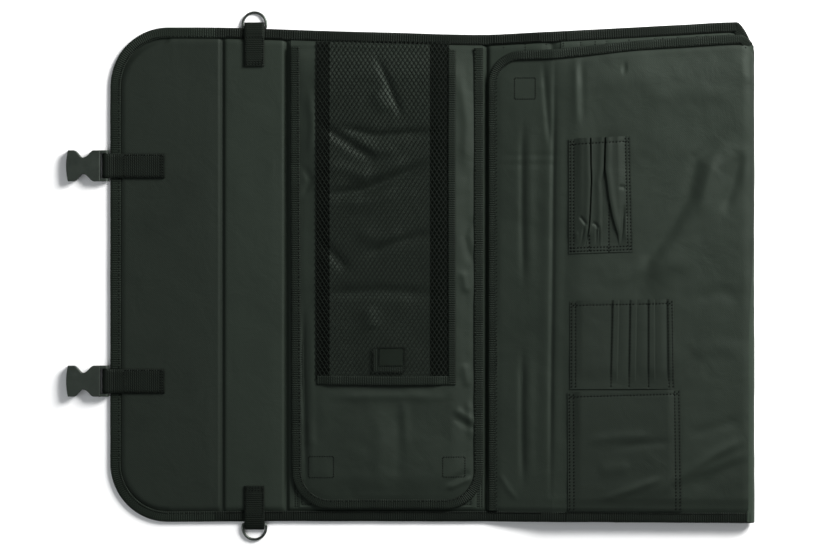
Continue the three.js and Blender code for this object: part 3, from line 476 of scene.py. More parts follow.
def stitches(name, body, lines, height, pitch=2.8, length=1.6, width=1.1, proud=0.16):
    """Rows of thread on a body: each line of (x, y) points is sewn on height(x, y)."""
    middles, ways = [], []
    for line in lines:
        line = np.asarray(line, float)
        for start, end in zip(line, line[1:]):
            reach = float(np.linalg.norm(end - start))
            count = max(1, round(reach / pitch))
            share = (np.arange(count) + 0.5) / count
            middles.append(start + (end - start) * share[:, None])
            ways.append(np.tile((end - start) / max(reach, 1e-6), (count, 1)))
    middles, ways = np.concatenate(middles), np.concatenate(ways)
    sides = np.stack([-ways[:, 1], ways[:, 0]], -1)
    level = height(middles[:, 0], middles[:, 1]) + proud + 0 * middles[:, 0]
    spots = middles[:, None] + ways[:, None] * stitch_shape[None, :, :1] * length
    spots = spots + sides[:, None] * stitch_shape[None, :, 1:2] * width
    lift = level[:, None] + stitch_shape[None, :, 2]
    points = np.concatenate([spots, lift[..., None]], -1).reshape(-1, 3)
    faces = [[base + k for k in side] for base in range(0, len(points), 8) for side in stitch_sides]
    piece = make(name, points, faces, thread)
    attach(piece, body)
    return piece


# Effects that several finishes share


def effect(name, inputs, outputs):
    """An empty node group with named inputs and outputs, and its two end nodes."""
    group = bpy.data.node_groups.new(name, "ShaderNodeTree")
    for label, kind, value in inputs:
        socket = group.interface.new_socket(label, in_out="INPUT", socket_type="NodeSocket" + kind)
        if value is not None:
            socket.default_value = value
    for label, kind in outputs:
        group.interface.new_socket(label, in_out="OUTPUT", socket_type="NodeSocket" + kind)
    entry, leave = group.nodes.new("NodeGroupInput"), group.nodes.new("NodeGroupOutput")
    return group, entry, leave


def put(tree, kind, values, **settings):
    """A node with its settings, and its inputs set or linked by name or number."""
    node = tree.nodes.new(kind)
    for label, value in settings.items():
        setattr(node, label, value)
    for socket, value in values.items():
        if isinstance(value, bpy.types.NodeSocket):
            tree.links.new(value, node.inputs[socket])
        else:
            node.inputs[socket].default_value = value
    return node


def sums(tree, operation, *values):
    """The result of a maths node."""
    return put(tree, "ShaderNodeMath", dict(enumerate(values)), operation=operation).outputs[0]


def noise(tree, spot, scale, detail, **more):
    """Soft chance patches, from 0 to 1."""
    values = {"Vector": spot, "Scale": scale, "Detail": detail, **more}
    return put(tree, "ShaderNodeTexNoise", values).outputs[0]


def blended(tree, amount, first, second):
    """A colour between two."""
    return put(tree, "ShaderNodeMix", {0: amount, 6: first, 7: second}, data_type="RGBA").outputs[2]


def ranged(tree, value, low, high, start=0.0, end=1.0):
    """A value between start and end, brought to between low and high."""
    return put(tree, "ShaderNodeMapRange", {0: value, 1: start, 2: end, 3: low, 4: high}).outputs[0]


def given(group, leave, **outputs):
    """The group, with its outputs linked."""
    for label, value in outputs.items():
        group.links.new(value, leave.inputs[label])
    return group


def make_weave():
    """Crossing threads, one over the other in turn, with a mask for painted shade in the gaps between
    them.
    """
    group, entry, leave = effect(
        "woven threads",
        [("Vector", "Vector", None), ("Thread", "Float", 0.5), ("Ribs", "Float", 0.0)],
        [("Height", "Float"), ("Gap", "Float")],
    )
    split = put(group, "ShaderNodeSeparateXYZ", {0: entry.outputs["Vector"]})
    turn = sums(group, "DIVIDE", math.pi, entry.outputs["Thread"])
    run = sums(group, "SINE", sums(group, "MULTIPLY", split.outputs[0], turn))
    fill = sums(group, "SINE", sums(group, "MULTIPLY", split.outputs[1], turn))
    over = sums(group, "MULTIPLY", run, fill)
    rib = sums(group, "ABSOLUTE", run)
    plain = sums(group, "MULTIPLY_ADD", over, 0.5, 0.5)
    mixed = put(group, "ShaderNodeMix", {0: entry.outputs["Ribs"], 2: plain, 3: rib})
    # Painted shade: 1 in the gaps between threads or ribs, 0 on their crests
    gap = sums(group, "SUBTRACT", 1.0, sums(group, "POWER", rib, 0.45))
    return given(group, leave, Height=mixed.outputs[0], Gap=gap)


def make_tone():
    """Two shades of one colour in soft patches with a fine fleck over them."""
    group, entry, leave = effect(
        "uneven tone",
        [
            ("Vector", "Vector", None),
            ("Colour", "Color", None),
            ("Other colour", "Color", None),
            ("Patch", "Float", 0.01),
            ("Fleck", "Float", 0.15),
        ],
        [("Colour", "Color"), ("Patches", "Float")],
    )
    spot = entry.outputs["Vector"]
    patches = ranged(group, noise(group, spot, entry.outputs["Patch"], 3.0), 0.0, 1.0, 0.34, 0.66)
    speck = sums(group, "MULTIPLY", noise(group, spot, 1.7, 2.0), entry.outputs["Fleck"])
    amount = sums(group, "ADD", patches, speck)
    colour = blended(group, amount, entry.outputs["Colour"], entry.outputs["Other colour"])
    return given(group, leave, Colour=colour, Patches=patches)


def make_grain():
    """Fine pits and soft creases, for coatings and mouldings."""
    group, entry, leave = effect(
        "fine grain",
        [("Vector", "Vector", None), ("Grain", "Float", 2.0), ("Crease", "Float", 0.08)],
        [("Height", "Float"), ("Creases", "Float")],
    )
    spot = entry.outputs["Vector"]
    fine = noise(group, spot, entry.outputs["Grain"], 3.0)
    soft = noise(group, spot, entry.outputs["Crease"], 4.0, Roughness=0.55, Distortion=0.8)
    return given(group, leave, Height=fine, Creases=soft)


def make_wear():
    """Rubbed places, in scattered patches, from 0 to 1."""
    group, entry, leave = effect(
        "rubbed places",
        [("Vector", "Vector", None), ("Size", "Float", 0.2), ("Amount", "Float", 0.3)],
        [("Mask", "Float")],
    )
    patches = noise(group, entry.outputs["Vector"], entry.outputs["Size"], 6.0)
    start = sums(group, "SUBTRACT", 0.75, sums(group, "MULTIPLY", entry.outputs["Amount"], 0.3))
    mask = ranged(group, patches, 0.0, 1.0, start, sums(group, "ADD", start, 0.18))
    return given(group, leave, Mask=mask)


weave_effect, tone_effect = make_weave(), make_tone()
grain_effect, wear_effect = make_grain(), make_wear()


# Finishes

green_tint = (0.86, 1.0, 0.88, 1)


def finish(name, roughness, **settings):
    """A new material with its shader, and the settings that are the same all over."""
    material = bpy.data.materials.new(name)
    material.use_nodes = True
    tree = material.node_tree
    shader = tree.nodes["Principled BSDF"]
    for label, value in settings.items():
        shader.inputs[label.replace("_", " ")].default_value = value
    shader.inputs["Roughness"].default_value = roughness
    return material, tree, shader


def placed(tree, effect_group, **values):
    """An effect, with its inputs set or linked; a _ in a name stands for a space."""
    node = tree.nodes.new("ShaderNodeGroup")
    node.node_tree = effect_group
    for label, value in values.items():
        socket = node.inputs[label.replace("_", " ")]
        if isinstance(value, bpy.types.NodeSocket):
            tree.links.new(value, socket)
        else:
            socket.default_value = value
    return node


def in_mm(tree, source="UV"):
    """Texture coordinates in millimetres: the texture map, or the object's own space."""
    spot = tree.nodes.new("ShaderNodeTexCoord").outputs[source]
    if source == "UV":
        return spot
    return put(
        tree, "ShaderNodeVectorMath", {0: spot, 1: (1000, 1000, 1000)}, operation="MULTIPLY"
    ).outputs[0]


def bumped(tree, shader, *layers):
    """Bumps on bumps: each layer has its height and its depth in mm."""
    normal = None
    for height, depth in layers:
        node = put(tree, "ShaderNodeBump", {"Height": height, "Distance": depth * MM})
        if normal:
            tree.links.new(normal, node.inputs["Normal"])
        normal = node.outputs[0]
    tree.links.new(normal, shader.inputs["Normal"])


def shade(colour, factor):
    """A lighter or darker form of a colour."""
    return tuple(min(1, factor * part) for part in colour[:3]) + (1,)


def toned(tree, spot, colour, other, patch, fleck):
    """A colour with patches of another, and how far each place is in a patch."""
    values = {"Vector": spot, "Colour": colour, "Other_colour": other, "Patch": patch, "Fleck": fleck}
    return placed(tree, tone_effect, **values).outputs


def rubbed(tree, spot, size, amount):
    """Where the surface is rubbed, from 0 to 1."""
    return placed(tree, wear_effect, Vector=spot, Size=size, Amount=amount).outputs[0]


def woven_finish(name, roughness, gloss, sheen, sheen_width):
    """A new material for cloth or tape, with a sheen."""
    return finish(
        name,
        roughness,
        Specular_IOR_Level=gloss,
        Specular_Tint=green_tint,
        Sheen_Weight=sheen,
        Sheen_Roughness=sheen_width,
        Sheen_Tint=green_tint,
    )


def wired(tree, shader, colour, rough):
    """Links a shader's colour and roughness."""
    tree.links.new(colour, shader.inputs["Base Color"])
    tree.links.new(rough, shader.inputs["Roughness"])


def coated_cloth(name, dark, light, roughness, gloss=0.16):
    """Nylon with a soft coating: fine plain weave with painted shade between its threads, faint
    crumples and a satin sheen.
    """
    colour, other = dark_green(dark), dark_green(light)
    material, tree, shader = woven_finish(name, roughness, gloss, 0.03, 0.5)
    spot = in_mm(tree)
    tone = toned(tree, spot, colour, other, 0.012, 1.1)
    weave = placed(tree, weave_effect, Vector=spot, Thread=0.9, Ribs=0.0).outputs
    grain = placed(tree, grain_effect, Vector=spot, Grain=0.8, Crease=0.03).outputs
    worn = sums(tree, "MULTIPLY", rubbed(tree, spot, 0.05, 0.35), 0.3)
    lighter = blended(tree, worn, tone[0], shade(other, 1.3))
    # Painted shade: the gaps between threads are darkened
    thread_gap_shade = sums(tree, "MULTIPLY", weave["Gap"], 0.35)
    threads = blended(tree, thread_gap_shade, lighter, shade(colour, 0.6))
    wired(tree, shader, threads, ranged(tree, tone[1], roughness - 0.05, roughness + 0.06))
    bumped(tree, shader, (grain[1], 0.7), (weave[0], 0.1), (grain[0], 0.14))
    return material


def ribbed(name, dark, light, rib, ribs=1.0, depth=0.3, roughness=0.6, source="UV"):
    """Narrow woven goods: ribs across the tape with painted shade between them, rubbed on their
    crests.
    """
    colour, other = dark_green(dark), dark_green(light)
    material, tree, shader = woven_finish(name, roughness, 0.1, 0.015, 0.4)
    spot = in_mm(tree, source)
    weave = placed(tree, weave_effect, Vector=spot, Thread=rib, Ribs=ribs).outputs
    fine = placed(tree, weave_effect, Vector=spot, Thread=1.35, Ribs=0.0).outputs
    tone = toned(tree, spot, colour, other, 0.05, 0.5)
    picks = blended(tree, fine["Height"], tone[0], shade(colour, 0.35))
    # Painted shade: the gaps between ribs are darkened nearly to black
    between = blended(tree, weave["Gap"], picks, shade(colour, 0.15))
    crest = sums(tree, "MULTIPLY", rubbed(tree, spot, 0.1, 0.4), weave["Height"])
    lighter = blended(tree, sums(tree, "MULTIPLY", crest, 0.5), between, shade(other, 1.5))
    wired(tree, shader, lighter, ranged(tree, weave["Height"], roughness + 0.2, roughness - 0.05))
    bumped(tree, shader, (weave["Height"], depth), (fine[0], 0.12))
    return material


def moulded(name, colour, other, roughness=0.42, tint=green_tint):
    """Moulded plastic with a fine spark-eroded grain."""
    material, tree, shader = finish(name, roughness, Specular_IOR_Level=0.42, Specular_Tint=tint)
    spot = in_mm(tree, "Object")
    tone = toned(tree, spot, colour, other, 0.08, 0.4)
    grain = placed(tree, grain_effect, Vector=spot, Grain=3.5, Crease=0.2).outputs
    worn = sums(tree, "MULTIPLY", rubbed(tree, spot, 0.35, 0.5), 0.4)
    scuffed = blended(tree, worn, tone[0], shade(other, 1.6))
    rough = ranged(tree, grain[1], roughness - 0.06, roughness + 0.1, 0.3, 0.7)
    wired(tree, shader, scuffed, rough)
    bumped(tree, shader, (grain[0], 0.04), (grain[1], 0.1))
    return material


def plated(name):
    """Dark nickel plate on bent wire, rubbed brighter in places."""
    material, tree, shader = finish(name, 0.3, Metallic=1.0)
    spot = in_mm(tree, "Object")
    tone = toned(tree, spot, (0.035, 0.042, 0.036, 1), (0.07, 0.08, 0.072, 1), 0.12, 0.3)
    worn = rubbed(tree, spot, 0.3, 0.6)
    bright = blended(tree, worn, tone[0], (0.2, 0.215, 0.2, 1))
    wired(tree, shader, bright, ranged(tree, worn, 0.34, 0.2))
    grain = placed(tree, grain_effect, Vector=spot, Grain=4.0, Crease=0.5).outputs
    bumped(tree, shader, (grain[0], 0.02))
    return material


def dark_green(level, green=1.42):
    """The case's green-grey at a level of brightness."""
    return (level, level * green, level * 1.04, 1)


shell_cloth = coated_cloth("shell nylon", 0.0046, 0.0066, 0.7)
# Painted shade: the closing flap's lining is a darker copy of the lining, for the less light that
# falls on it there
flap_lining_painted_darker = coated_cloth("lining painted darker", 0.0045, 0.0066, 0.62)
lining_cloth = coated_cloth("lining nylon", 0.0072, 0.0096, 0.6)
guard_cloth = coated_cloth("guard nylon", 0.0058, 0.0086, 0.58)
pocket_cloth = coated_cloth("pocket nylon", 0.0047, 0.0068, 0.6)
edge_tape = ribbed("ribbed tape", 0.0056, 0.0096, rib_pitch)
# Painted light: the closing flap's tape is a lighter copy of the ribbed tape
flap_tape_painted_lighter = ribbed("ribbed tape painted lighter", 0.0082, 0.0132, rib_pitch)
# Painted shade: the long top and bottom tapes are a darker copy of the ribbed tape
long_tape_painted_darker = ribbed("ribbed tape painted darker", 0.003, 0.0058, rib_pitch)
strap = ribbed("woven webbing", 0.0036, 0.0068, web_pitch, depth=0.4)
black_cloth = coated_cloth("near-black strips", 0.0007, 0.0011, 0.8, gloss=0.04)
# Painted light: the roll over the right edge is a lighter copy of the lining, where the cloth turns
# towards the light
roll_cloth_painted_lighter = coated_cloth("lining painted lighter", 0.0115, 0.0165, 0.55)
net_yarn = ribbed("net yarn", 0.0032, 0.006, 0.5, depth=0.06)
hook_loop = ribbed("hook pad", 0.009, 0.014, 0.8, ribs=0.0, depth=0.5, roughness=0.9)
thread = ribbed("thread", 0.0006, 0.0012, 0.3, depth=0.05, roughness=0.9, source="Object")
plastic = moulded("moulded buckle", dark_green(0.0068, 1.3), dark_green(0.0095, 1.3))
metal = plated("gunmetal wire")
board_card = moulded("stiff board", (0.26, 0.25, 0.22, 1), (0.33, 0.32, 0.28, 1), 0.8, (1, 1, 1, 1))


# Shell panels

# A lining rises to its board from ramp_start inside its edge, over ramp_run; beside a fold it
# rises over the width of a groove. Its rows are drawn together towards the folds.
ramp_start, ramp_run = 9, 5
wide_groove, narrow_groove, no_groove = 11, 4.2, 0.01
rows_gathered = 0.75
# Half of the strip of outer cloth that spans a fold, and how far it laps over the panels' own
seam_half = 5
lap = 0.6
panel_stitch = 2.4


def lining_top(left, right, grooves, corner=0, seams=()):
    """Upper face of a panel's lining: flat on its board, down to its edges and folds."""

    def height(x, y):
        x, y = np.asarray(x, float), np.asarray(y, float)
        rim = np.minimum(top_edge(x) - y, y - low_edge(x))
        over = climb(rim, ramp_start, ramp_run)
        over = over * climb(x - left, 0, grooves[0]) * climb(right - x, 0, grooves[1])
        if corner:
            dx = np.maximum(left + corner - x, 0)
            dy = np.maximum(abs(y) - (case_edge - corner), 0)
            reach = corner - np.hypot(dx, dy)
            turned = (dx > 0) & (dy > 0)
            over = over * climb(np.where(turned, reach, x - left), ramp_start, ramp_run)
        nearest = right - x if corner else np.minimum(x - left, right - x)
        rest = pivot + (edge_level - pivot) * climb(nearest, 0, 5)
        soft = 0.5 * crumple(x, y, 64, 3) + 0.12 * crumple(x, y, 18, 4) + 0.35
        soft = soft * climb(nearest, 4, 12)
        level = ground(x) + rest + (board_level - rest + soft) * over
        return level + sewn_in(x, y, seams, 0.45, 0.9) * climb(level - ground(x), 2, 1)

    return height


def shell_top(x, y):
    """Upper face of the outer cloth: flat on the table, up into its taped edges."""
    rim = np.minimum(top_edge(x) - np.asarray(y), np.asarray(y) - low_edge(x))
    rise = (edge_level - cloth - pivot - 0.05) * (1 - climb(rim, 8, 5))
    return ground(x) + pivot + rise


def declare_cloth(piece, body, width, length, slot, *nodes, rests_on, held="laid"):
    """Attaches a cloth to the body it rides on and hides the solids it stands for; its finish, cut
    size in mm and what it lies on are not used.
    """
    if body:
        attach(piece, body)
    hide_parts(*nodes)
    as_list(rests_on)


def declare_panel(piece, body, width, length, slot, *nodes, board=None):
    """The same for a cloth that is stretched over a board."""
    rests_on = [(board or body) + "_board"]
    declare_cloth(piece, body, width, length, slot, *nodes, held="stretched", rests_on=rests_on)


panels = {
    "first_spine": (flap_fold, spine_fold, (narrow_groove, narrow_groove)),
    "back_panel": (spine_fold, second_fold, (narrow_groove, narrow_groove)),
    "second_spine": (second_fold, front_fold, (narrow_groove, wide_groove)),
    "front_panel": (front_fold, roll_from, (wide_groove, no_groove)),
}
# Seams of the slots that show beside the guard flaps, and the ticks over the second spine
slot_feet = (-91.2, -88.6, -79.6, 90.7, 92.4, 95.2)
spine_ticks = (117.0, 138.5, 159.3)
panel_seams = {
    "back_panel": [[(x, low_edge(x) + 14), (x, 230)] for x in slot_feet],
    "second_spine": [[(x, 222), (x, 232)] for x in spine_ticks],
}
cloth_sides = (lambda x: low_edge(x) + cloth_inset, lambda x: top_edge(x) - cloth_inset)
for body, (left, right, grooves) in panels.items():
    # The front panel has its wide fold at the left, and runs on over the roll at the right
    last = body == "front_panel"
    roll_on = 30 if last else 0
    seams = panel_seams.get(body, ())
    height = lining_top(left, right + roll_on, grooves, seams=seams)
    step = 1.3 if body == "back_panel" else 2.3
    plan = spread(left, right, cloth_sides, step, rows_gathered)
    piece = lay(body + "_inside", plan, height, lining_cloth)
    declare_panel(piece, body, right - left, cut_length, "lining_nylon", body + "_lining")
    if seams:
        stitches(body + "_stitches", body, seams, height, panel_stitch)
    near = left + seam_half * (2 if last else 1)
    far = right - seam_half * (2 if body == "second_spine" else 0 if last else 1)
    plan = spread(near, far + (4.5 if last else 0), cloth_sides, 5)
    piece = lay(body + "_outside", plan, shell_top, shell_cloth, shell_thick)
    declare_panel(piece, body, far - near, cut_length, "outer_nylon", body + "_outer_cloth")

# The closing flap has two rounded corners
flap_height = lining_top(flap_left, flap_fold, (no_groove, narrow_groove), corner=corner_radius)


def flap_side(y):
    """Left edge of the closing flap at a height y."""
    return flap_left + rounded(abs(y) - (case_edge - corner_radius), corner_radius)


def bowed(x, y):
    """A height on the flap, drawn towards its slightly bowed top and bottom edges."""
    stretch = np.where(np.asarray(y) > 0, top_edge(x), -low_edge(x)) / case_edge
    return y * (1 + (stretch - 1) * climb(abs(y), 150, 80))


def flap_plan(step, right):
    """Rows across the closing flap, from its left edge to right."""
    sides = (lambda y: flap_side(y) + cloth_inset, right)
    x, y = spread(-case_edge + cloth_inset, case_edge - cloth_inset, sides, step, upright=True)
    return x, bowed(x, y)


x, y = flap_plan(2.3, flap_fold)
wide = x[:, -1:] - x[:, :1]
share = (x - x[:, :1]) / wide
x = x[:, :1] + wide * (share + rows_gathered * np.sin(math.pi * share) / math.pi * share)
piece = lay("closing_flap_inside", (x, y), flap_height, flap_lining_painted_darker)
declare_panel(piece, "closing_flap", 112, cut_length, "lining_nylon", "closing_flap_lining")
plan = flap_plan(4, flap_fold - seam_half)
piece = lay("closing_flap_outside", plan, shell_top, shell_cloth, shell_thick)
declare_panel(piece, "closing_flap", 108, cut_length, "outer_nylon", "closing_flap_outer_cloth")

# Outer cloth across the folds
fold_bodies = [
    ("flap_fold", "closing_flap", "first_spine", flap_fold, seam_half),
    ("spine_fold", "first_spine", "back_panel", spine_fold, seam_half),
    ("second_fold", "back_panel", "second_spine", second_fold, seam_half),
    ("front_fold", "second_spine", "front_panel", front_fold, 2 * seam_half),
]


def bend_over(piece, middle):
    """The piece's transform is baked into its mesh."""
    level = float(ground(middle)) + pivot
    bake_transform(piece)


for name, body_a, body_b, middle, reach in fold_bodies:
    plan = spread(middle - reach - lap, middle + reach + lap, cloth_sides, 1.3)
    piece = lay(name + "_cloth", plan, shell_top, shell_cloth, 0.78)
    bend_over(piece, middle)
    declare_panel(piece, None, 2 * (reach + lap), cut_length, "outer_nylon", board=body_a)


# Ribbed tape round the shell

tape_gap = 7


def turned_in(line, above):
    """Ways inwards from a line that runs to the right along the top or bottom edge."""
    way = unit(np.gradient(np.asarray(line, float), axis=0))
    side = -1 if above else 1
    return np.stack([-side * way[:, 1], side * way[:, 0], 0 * way[:, 0]], -1)


def shell_edging(name, start, end, above):
    """Tape along the top or bottom edge from one x to another, in a copy of the tape painted darker.
    """
    x = np.linspace(start, end, max(8, round(end - start)))
    line = np.stack([x, top_edge(x) if above else low_edge(x), ground(x)], -1)
    flat = line * (1, 1, 0)
    return edging(name, line, turned_in(flat, above), woven=long_tape_painted_darker)


spans = {
    "first_spine": (flap_fold + tape_gap, spine_fold - tape_gap),
    "back_panel": (spine_fold + tape_gap, second_fold - tape_gap),
    "second_spine": (second_fold + tape_gap, front_fold - 2 * tape_gap),
    "front_panel": (front_fold + 2 * tape_gap, roll_from),
}
for body, (start, end) in spans.items():
    for side, above in (("top", True), ("bottom", False)):
        piece = shell_edging(f"{body}_{side}_edging", start, end, above)
        fixed(piece, body, f"{body}_{side}_binding")
for name, body_a, body_b, middle, _ in fold_bodies:
    reach = tape_gap * (2 if name == "front_fold" else 1)
    for side, above in (("top", True), ("bottom", False)):
        piece = shell_edging(f"{name}_{side}_edging", middle - reach, middle + reach, above)
        bend_over(piece, middle)

# Tape round the closing flap, along its top, its left side and its bottom, in a copy of the tape
# painted lighter
flap_outline = ([], [])
flap_end = flap_fold - tape_gap
corner_x, corner_y = flap_left + corner_radius, case_edge - corner_radius
go(flap_outline, [(x, top_edge(x)) for x in np.arange(flap_end, corner_x, -2.0)], (0, -1, 0))
go_round(flap_outline, (corner_x, corner_y), corner_radius, np.arange(90, 181, 2.5), bowed)
go(flap_outline, [(flap_left, y) for y in np.arange(corner_y - 2, -corner_y, -2.0)], (1, 0, 0))
go_round(flap_outline, (corner_x, -corner_y), corner_radius, np.arange(180, 271, 2.5), bowed)
places = [*np.arange(corner_x + 2, flap_end + 0.1, 2.0), flap_end]
go(flap_outline, [(x, low_edge(x)) for x in places], (0, 1, 0))
flap_line, flap_inward = flap_outline
piece = edging("closing_flap_edging", flap_line, flap_inward, woven=flap_tape_painted_lighter)
fixed(piece, "closing_flap", "closing_flap_binding")


# Fold strip and leaf

leaf_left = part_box("leaf_binding")[0].x / MM
leaf_bottom, leaf_lift = -246.4, 0.6
leaf_length = 490
leaf_up_rim, leaf_up_rise = 3.1, 0.75
leaf_down_board, leaf_down_drop = 2.5, 1.85
roll_wide = 7.6
roll_mid = (board_level + front_lift) / 2


def leaf_top(x):
    """Top edge of the leaf, a little over that of the case."""
    return case_edge + leaf_lift - corner_drop(x)


def leaf_rim(x, y):
    """Distance in from the leaf's three free edges."""
    return np.minimum(np.minimum(leaf_top(x) - y, y - leaf_bottom), x - leaf_left)


def leaf_up(x, y):
    """The leaf's outer cloth faces up while the leaf lies under the front panel."""
    swell = leaf_up_rise * climb(leaf_rim(x, y), 8, 5)
    return leaf_up_rim + swell + 0.03 * crumple(x, y, 30, 8)


def leaf_down(x, y):
    """Upper face of the leaf's lining, which lies on the table."""
    return leaf_down_board - leaf_down_drop * climb(leaf_rim(x, y), ramp_start - 4, ramp_run)


sides = (leaf_bottom + cloth_inset, lambda x: float(leaf_top(x)) - cloth_inset)
plan = spread(leaf_left + guard_inset, front_edge - 1.0, sides, 5)
piece = lay("leaf_outside", plan, leaf_up, shell_cloth, shell_thick)
declare_panel(piece, "leaf", 149, leaf_length, "outer_nylon", "leaf_outer_cloth")
plan = spread(leaf_left + guard_inset, roll_from, sides, 4)
piece = lay("leaf_inside", plan, leaf_down, lining_cloth)
declare_panel(piece, "leaf", 144, leaf_length, "lining_nylon", "leaf_lining")

leaf_corner = 14
corner_x, corner_low = leaf_left + leaf_corner, leaf_bottom + leaf_corner
leaf_line = [(x, float(leaf_top(x)), 0) for x in np.arange(roll_from, corner_x, -1.5)]
leaf_inward = list(-turned_in(leaf_line, True) * (1, 1, 0))
leaf_outline = (leaf_line, leaf_inward)
corner_high = case_edge + leaf_lift - leaf_corner
go_round(leaf_outline, (corner_x, corner_high), leaf_corner, range(90, 181, 9))
go(leaf_outline, [(leaf_left, y) for y in np.arange(case_edge - 16, corner_low, -3.0)], (1, 0, 0))
go_round(leaf_outline, (corner_x, corner_low), leaf_corner, range(180, 271, 9))
places = np.arange(leaf_left + 16, roll_from + 0.1, 2.0)
go(leaf_outline, [(x, leaf_bottom) for x in places], (0, 1, 0))
piece = edging("leaf_edging", leaf_line, leaf_inward, bottom=0.15, top=3.9)
fixed(piece, "leaf", "leaf_binding")


def roll_point(turn, shrink=0.0):
    """The lining rolls over the right edge, from the top (90 degrees) round to the bottom."""
    angle = math.radians(turn)
    return (
        roll_from + (roll_wide - shrink) * math.cos(angle),
        roll_mid + (roll_mid - 0.1 - shrink) * math.sin(angle),
    )


def roll_sheet(name, first, last):
    """The lining on the roll, from one turn to another, in a copy of the lining painted lighter where
    it turns towards the light.
    """
    rows, around, across, arc_length = [], 16, 200, 11.2
    for turn in np.linspace(first, last, around):
        x, z = roll_point(turn)
        y = np.linspace(leaf_bottom + cloth_inset, float(top_edge(x)) - cloth_inset, across)
        bulge = 0.3 * crumple(y, y * 0 + z * 3, 26, 9) * math.cos(math.radians(turn))
        rows.append(np.stack([x + bulge, y, z + 0 * y], -1))
    points = np.array(rows)
    faces = grid_faces(around, across, flip=True)
    arc = np.repeat(np.linspace(0, arc_length, around)[:, None], across, axis=1)
    plan = np.stack([arc, points[..., 1]], -1)
    return make(name, points.reshape(-1, 3), faces, roll_cloth_painted_lighter, plan.reshape(-1, 2), cloth)


def roll_tape(name, first, last, above):
    """The tape of the top or bottom edge, following the roll."""
    line, ups = [], []
    for turn in np.linspace(first, last, 19):
        x, z = roll_point(turn, 0.35)
        up = unit([(x - roll_from + 1e-6) / roll_wide, 0, (z - roll_mid) / roll_mid])
        edge = float(top_edge(x)) if above else float(low_edge(x))
        line.append(np.array([x, edge, z]) - up * (binding_top - 0.3))
        ups.append(up)
    return edging(name, line, [(0, -1 if above else 1, 0)] * len(line), up=ups, woven=long_tape_painted_darker)


for part, pair, first, last in (
    ("upper", ("front_panel", "fold_strip"), 90, 0),
    ("lower", ("fold_strip", "leaf"), 0, -90),
):
    start, end = (Vector((x, 0, z)) * MM for x, z in (roll_point(first), roll_point(last)))
    piece = roll_sheet("roll_" + part, first, last)
    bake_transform(piece)
    if part == "upper":
        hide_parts("fold_strip")
    for side, above in (("top", True), ("bottom", False)):
        piece = roll_tape(f"roll_{part}_{side}_edging", first, last, above)
        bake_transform(piece)


# Knife slots

slot_count = 5
slot_ticks = (193.7, 219.3, 267.5, 290.1, 318.5)


def slot_cloth(name, body, node, mouth_high, head):
    """One cloth sewn down in bands, with a soft tunnel between each two."""
    (left, low), (right, high) = ((corner.x / MM, corner.y / MM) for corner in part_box(node))
    pitch = (right - left) / slot_count
    rows = left + pitch * np.arange(slot_count + 1)
    rows[0], rows[-1] = rows[0] + 2, rows[-1] - 2
    if head:
        seams = [[(x, low + 2), (x, float(head(x)) - 1)] for x in rows]
        seams += [[(x, float(head(x)) - 13), (x, float(head(x)) - 1)] for x in slot_ticks]
    else:
        seams = [[(x, low + 2), (x, high - 2)] for x in rows]
        seams.append([(left + 2, low + 3), (right - 2, low + 3)])

    def height(x, y):
        x, y = np.asarray(x, float), np.asarray(y, float)
        tunnel = np.abs(np.sin(math.pi * (x - left) / pitch)) ** 0.7
        toe = climb(y, low, 34) if mouth_high else climb(high - y, 4, 34)
        lift = tunnel * toe * (2.2 + 0.3 * crumple(x, y, 40, 12))
        under = climb(head(x) - y, -1.5, 5) if head else 1
        base = 2.7 + 2.1 * under + sewn_in(x, y, seams[slot_count + 1:], 0.6, 1.4) * under
        return ground(x) + base + lift + 0.08 * crumple(x, y, 12, 13)

    top = (lambda x: float(head(x)) + 1.5) if head else high
    plan = spread(left, right, (low, top), 1.9)
    piece = lay(name, plan, height, lining_cloth)
    declare_panel(piece, body, (right - left) * 1.06, high - low, "lining_nylon", node)
    stitches(name + "_stitches", body, seams, height, panel_stitch)


slot_cloth("back_slots", "back_panel", "back_knife_slots", True, None)
slot_cloth("front_slots", "front_panel", "front_knife_slots", False,
           lambda x: top_edge(x) - binding_width)


# Back guard flap and its net pocket

guard_right, guard_foot, guard_top_end, guard_radius = 96.8, -232.5, 229, 38
back_guard_high = guard_high + 0.4

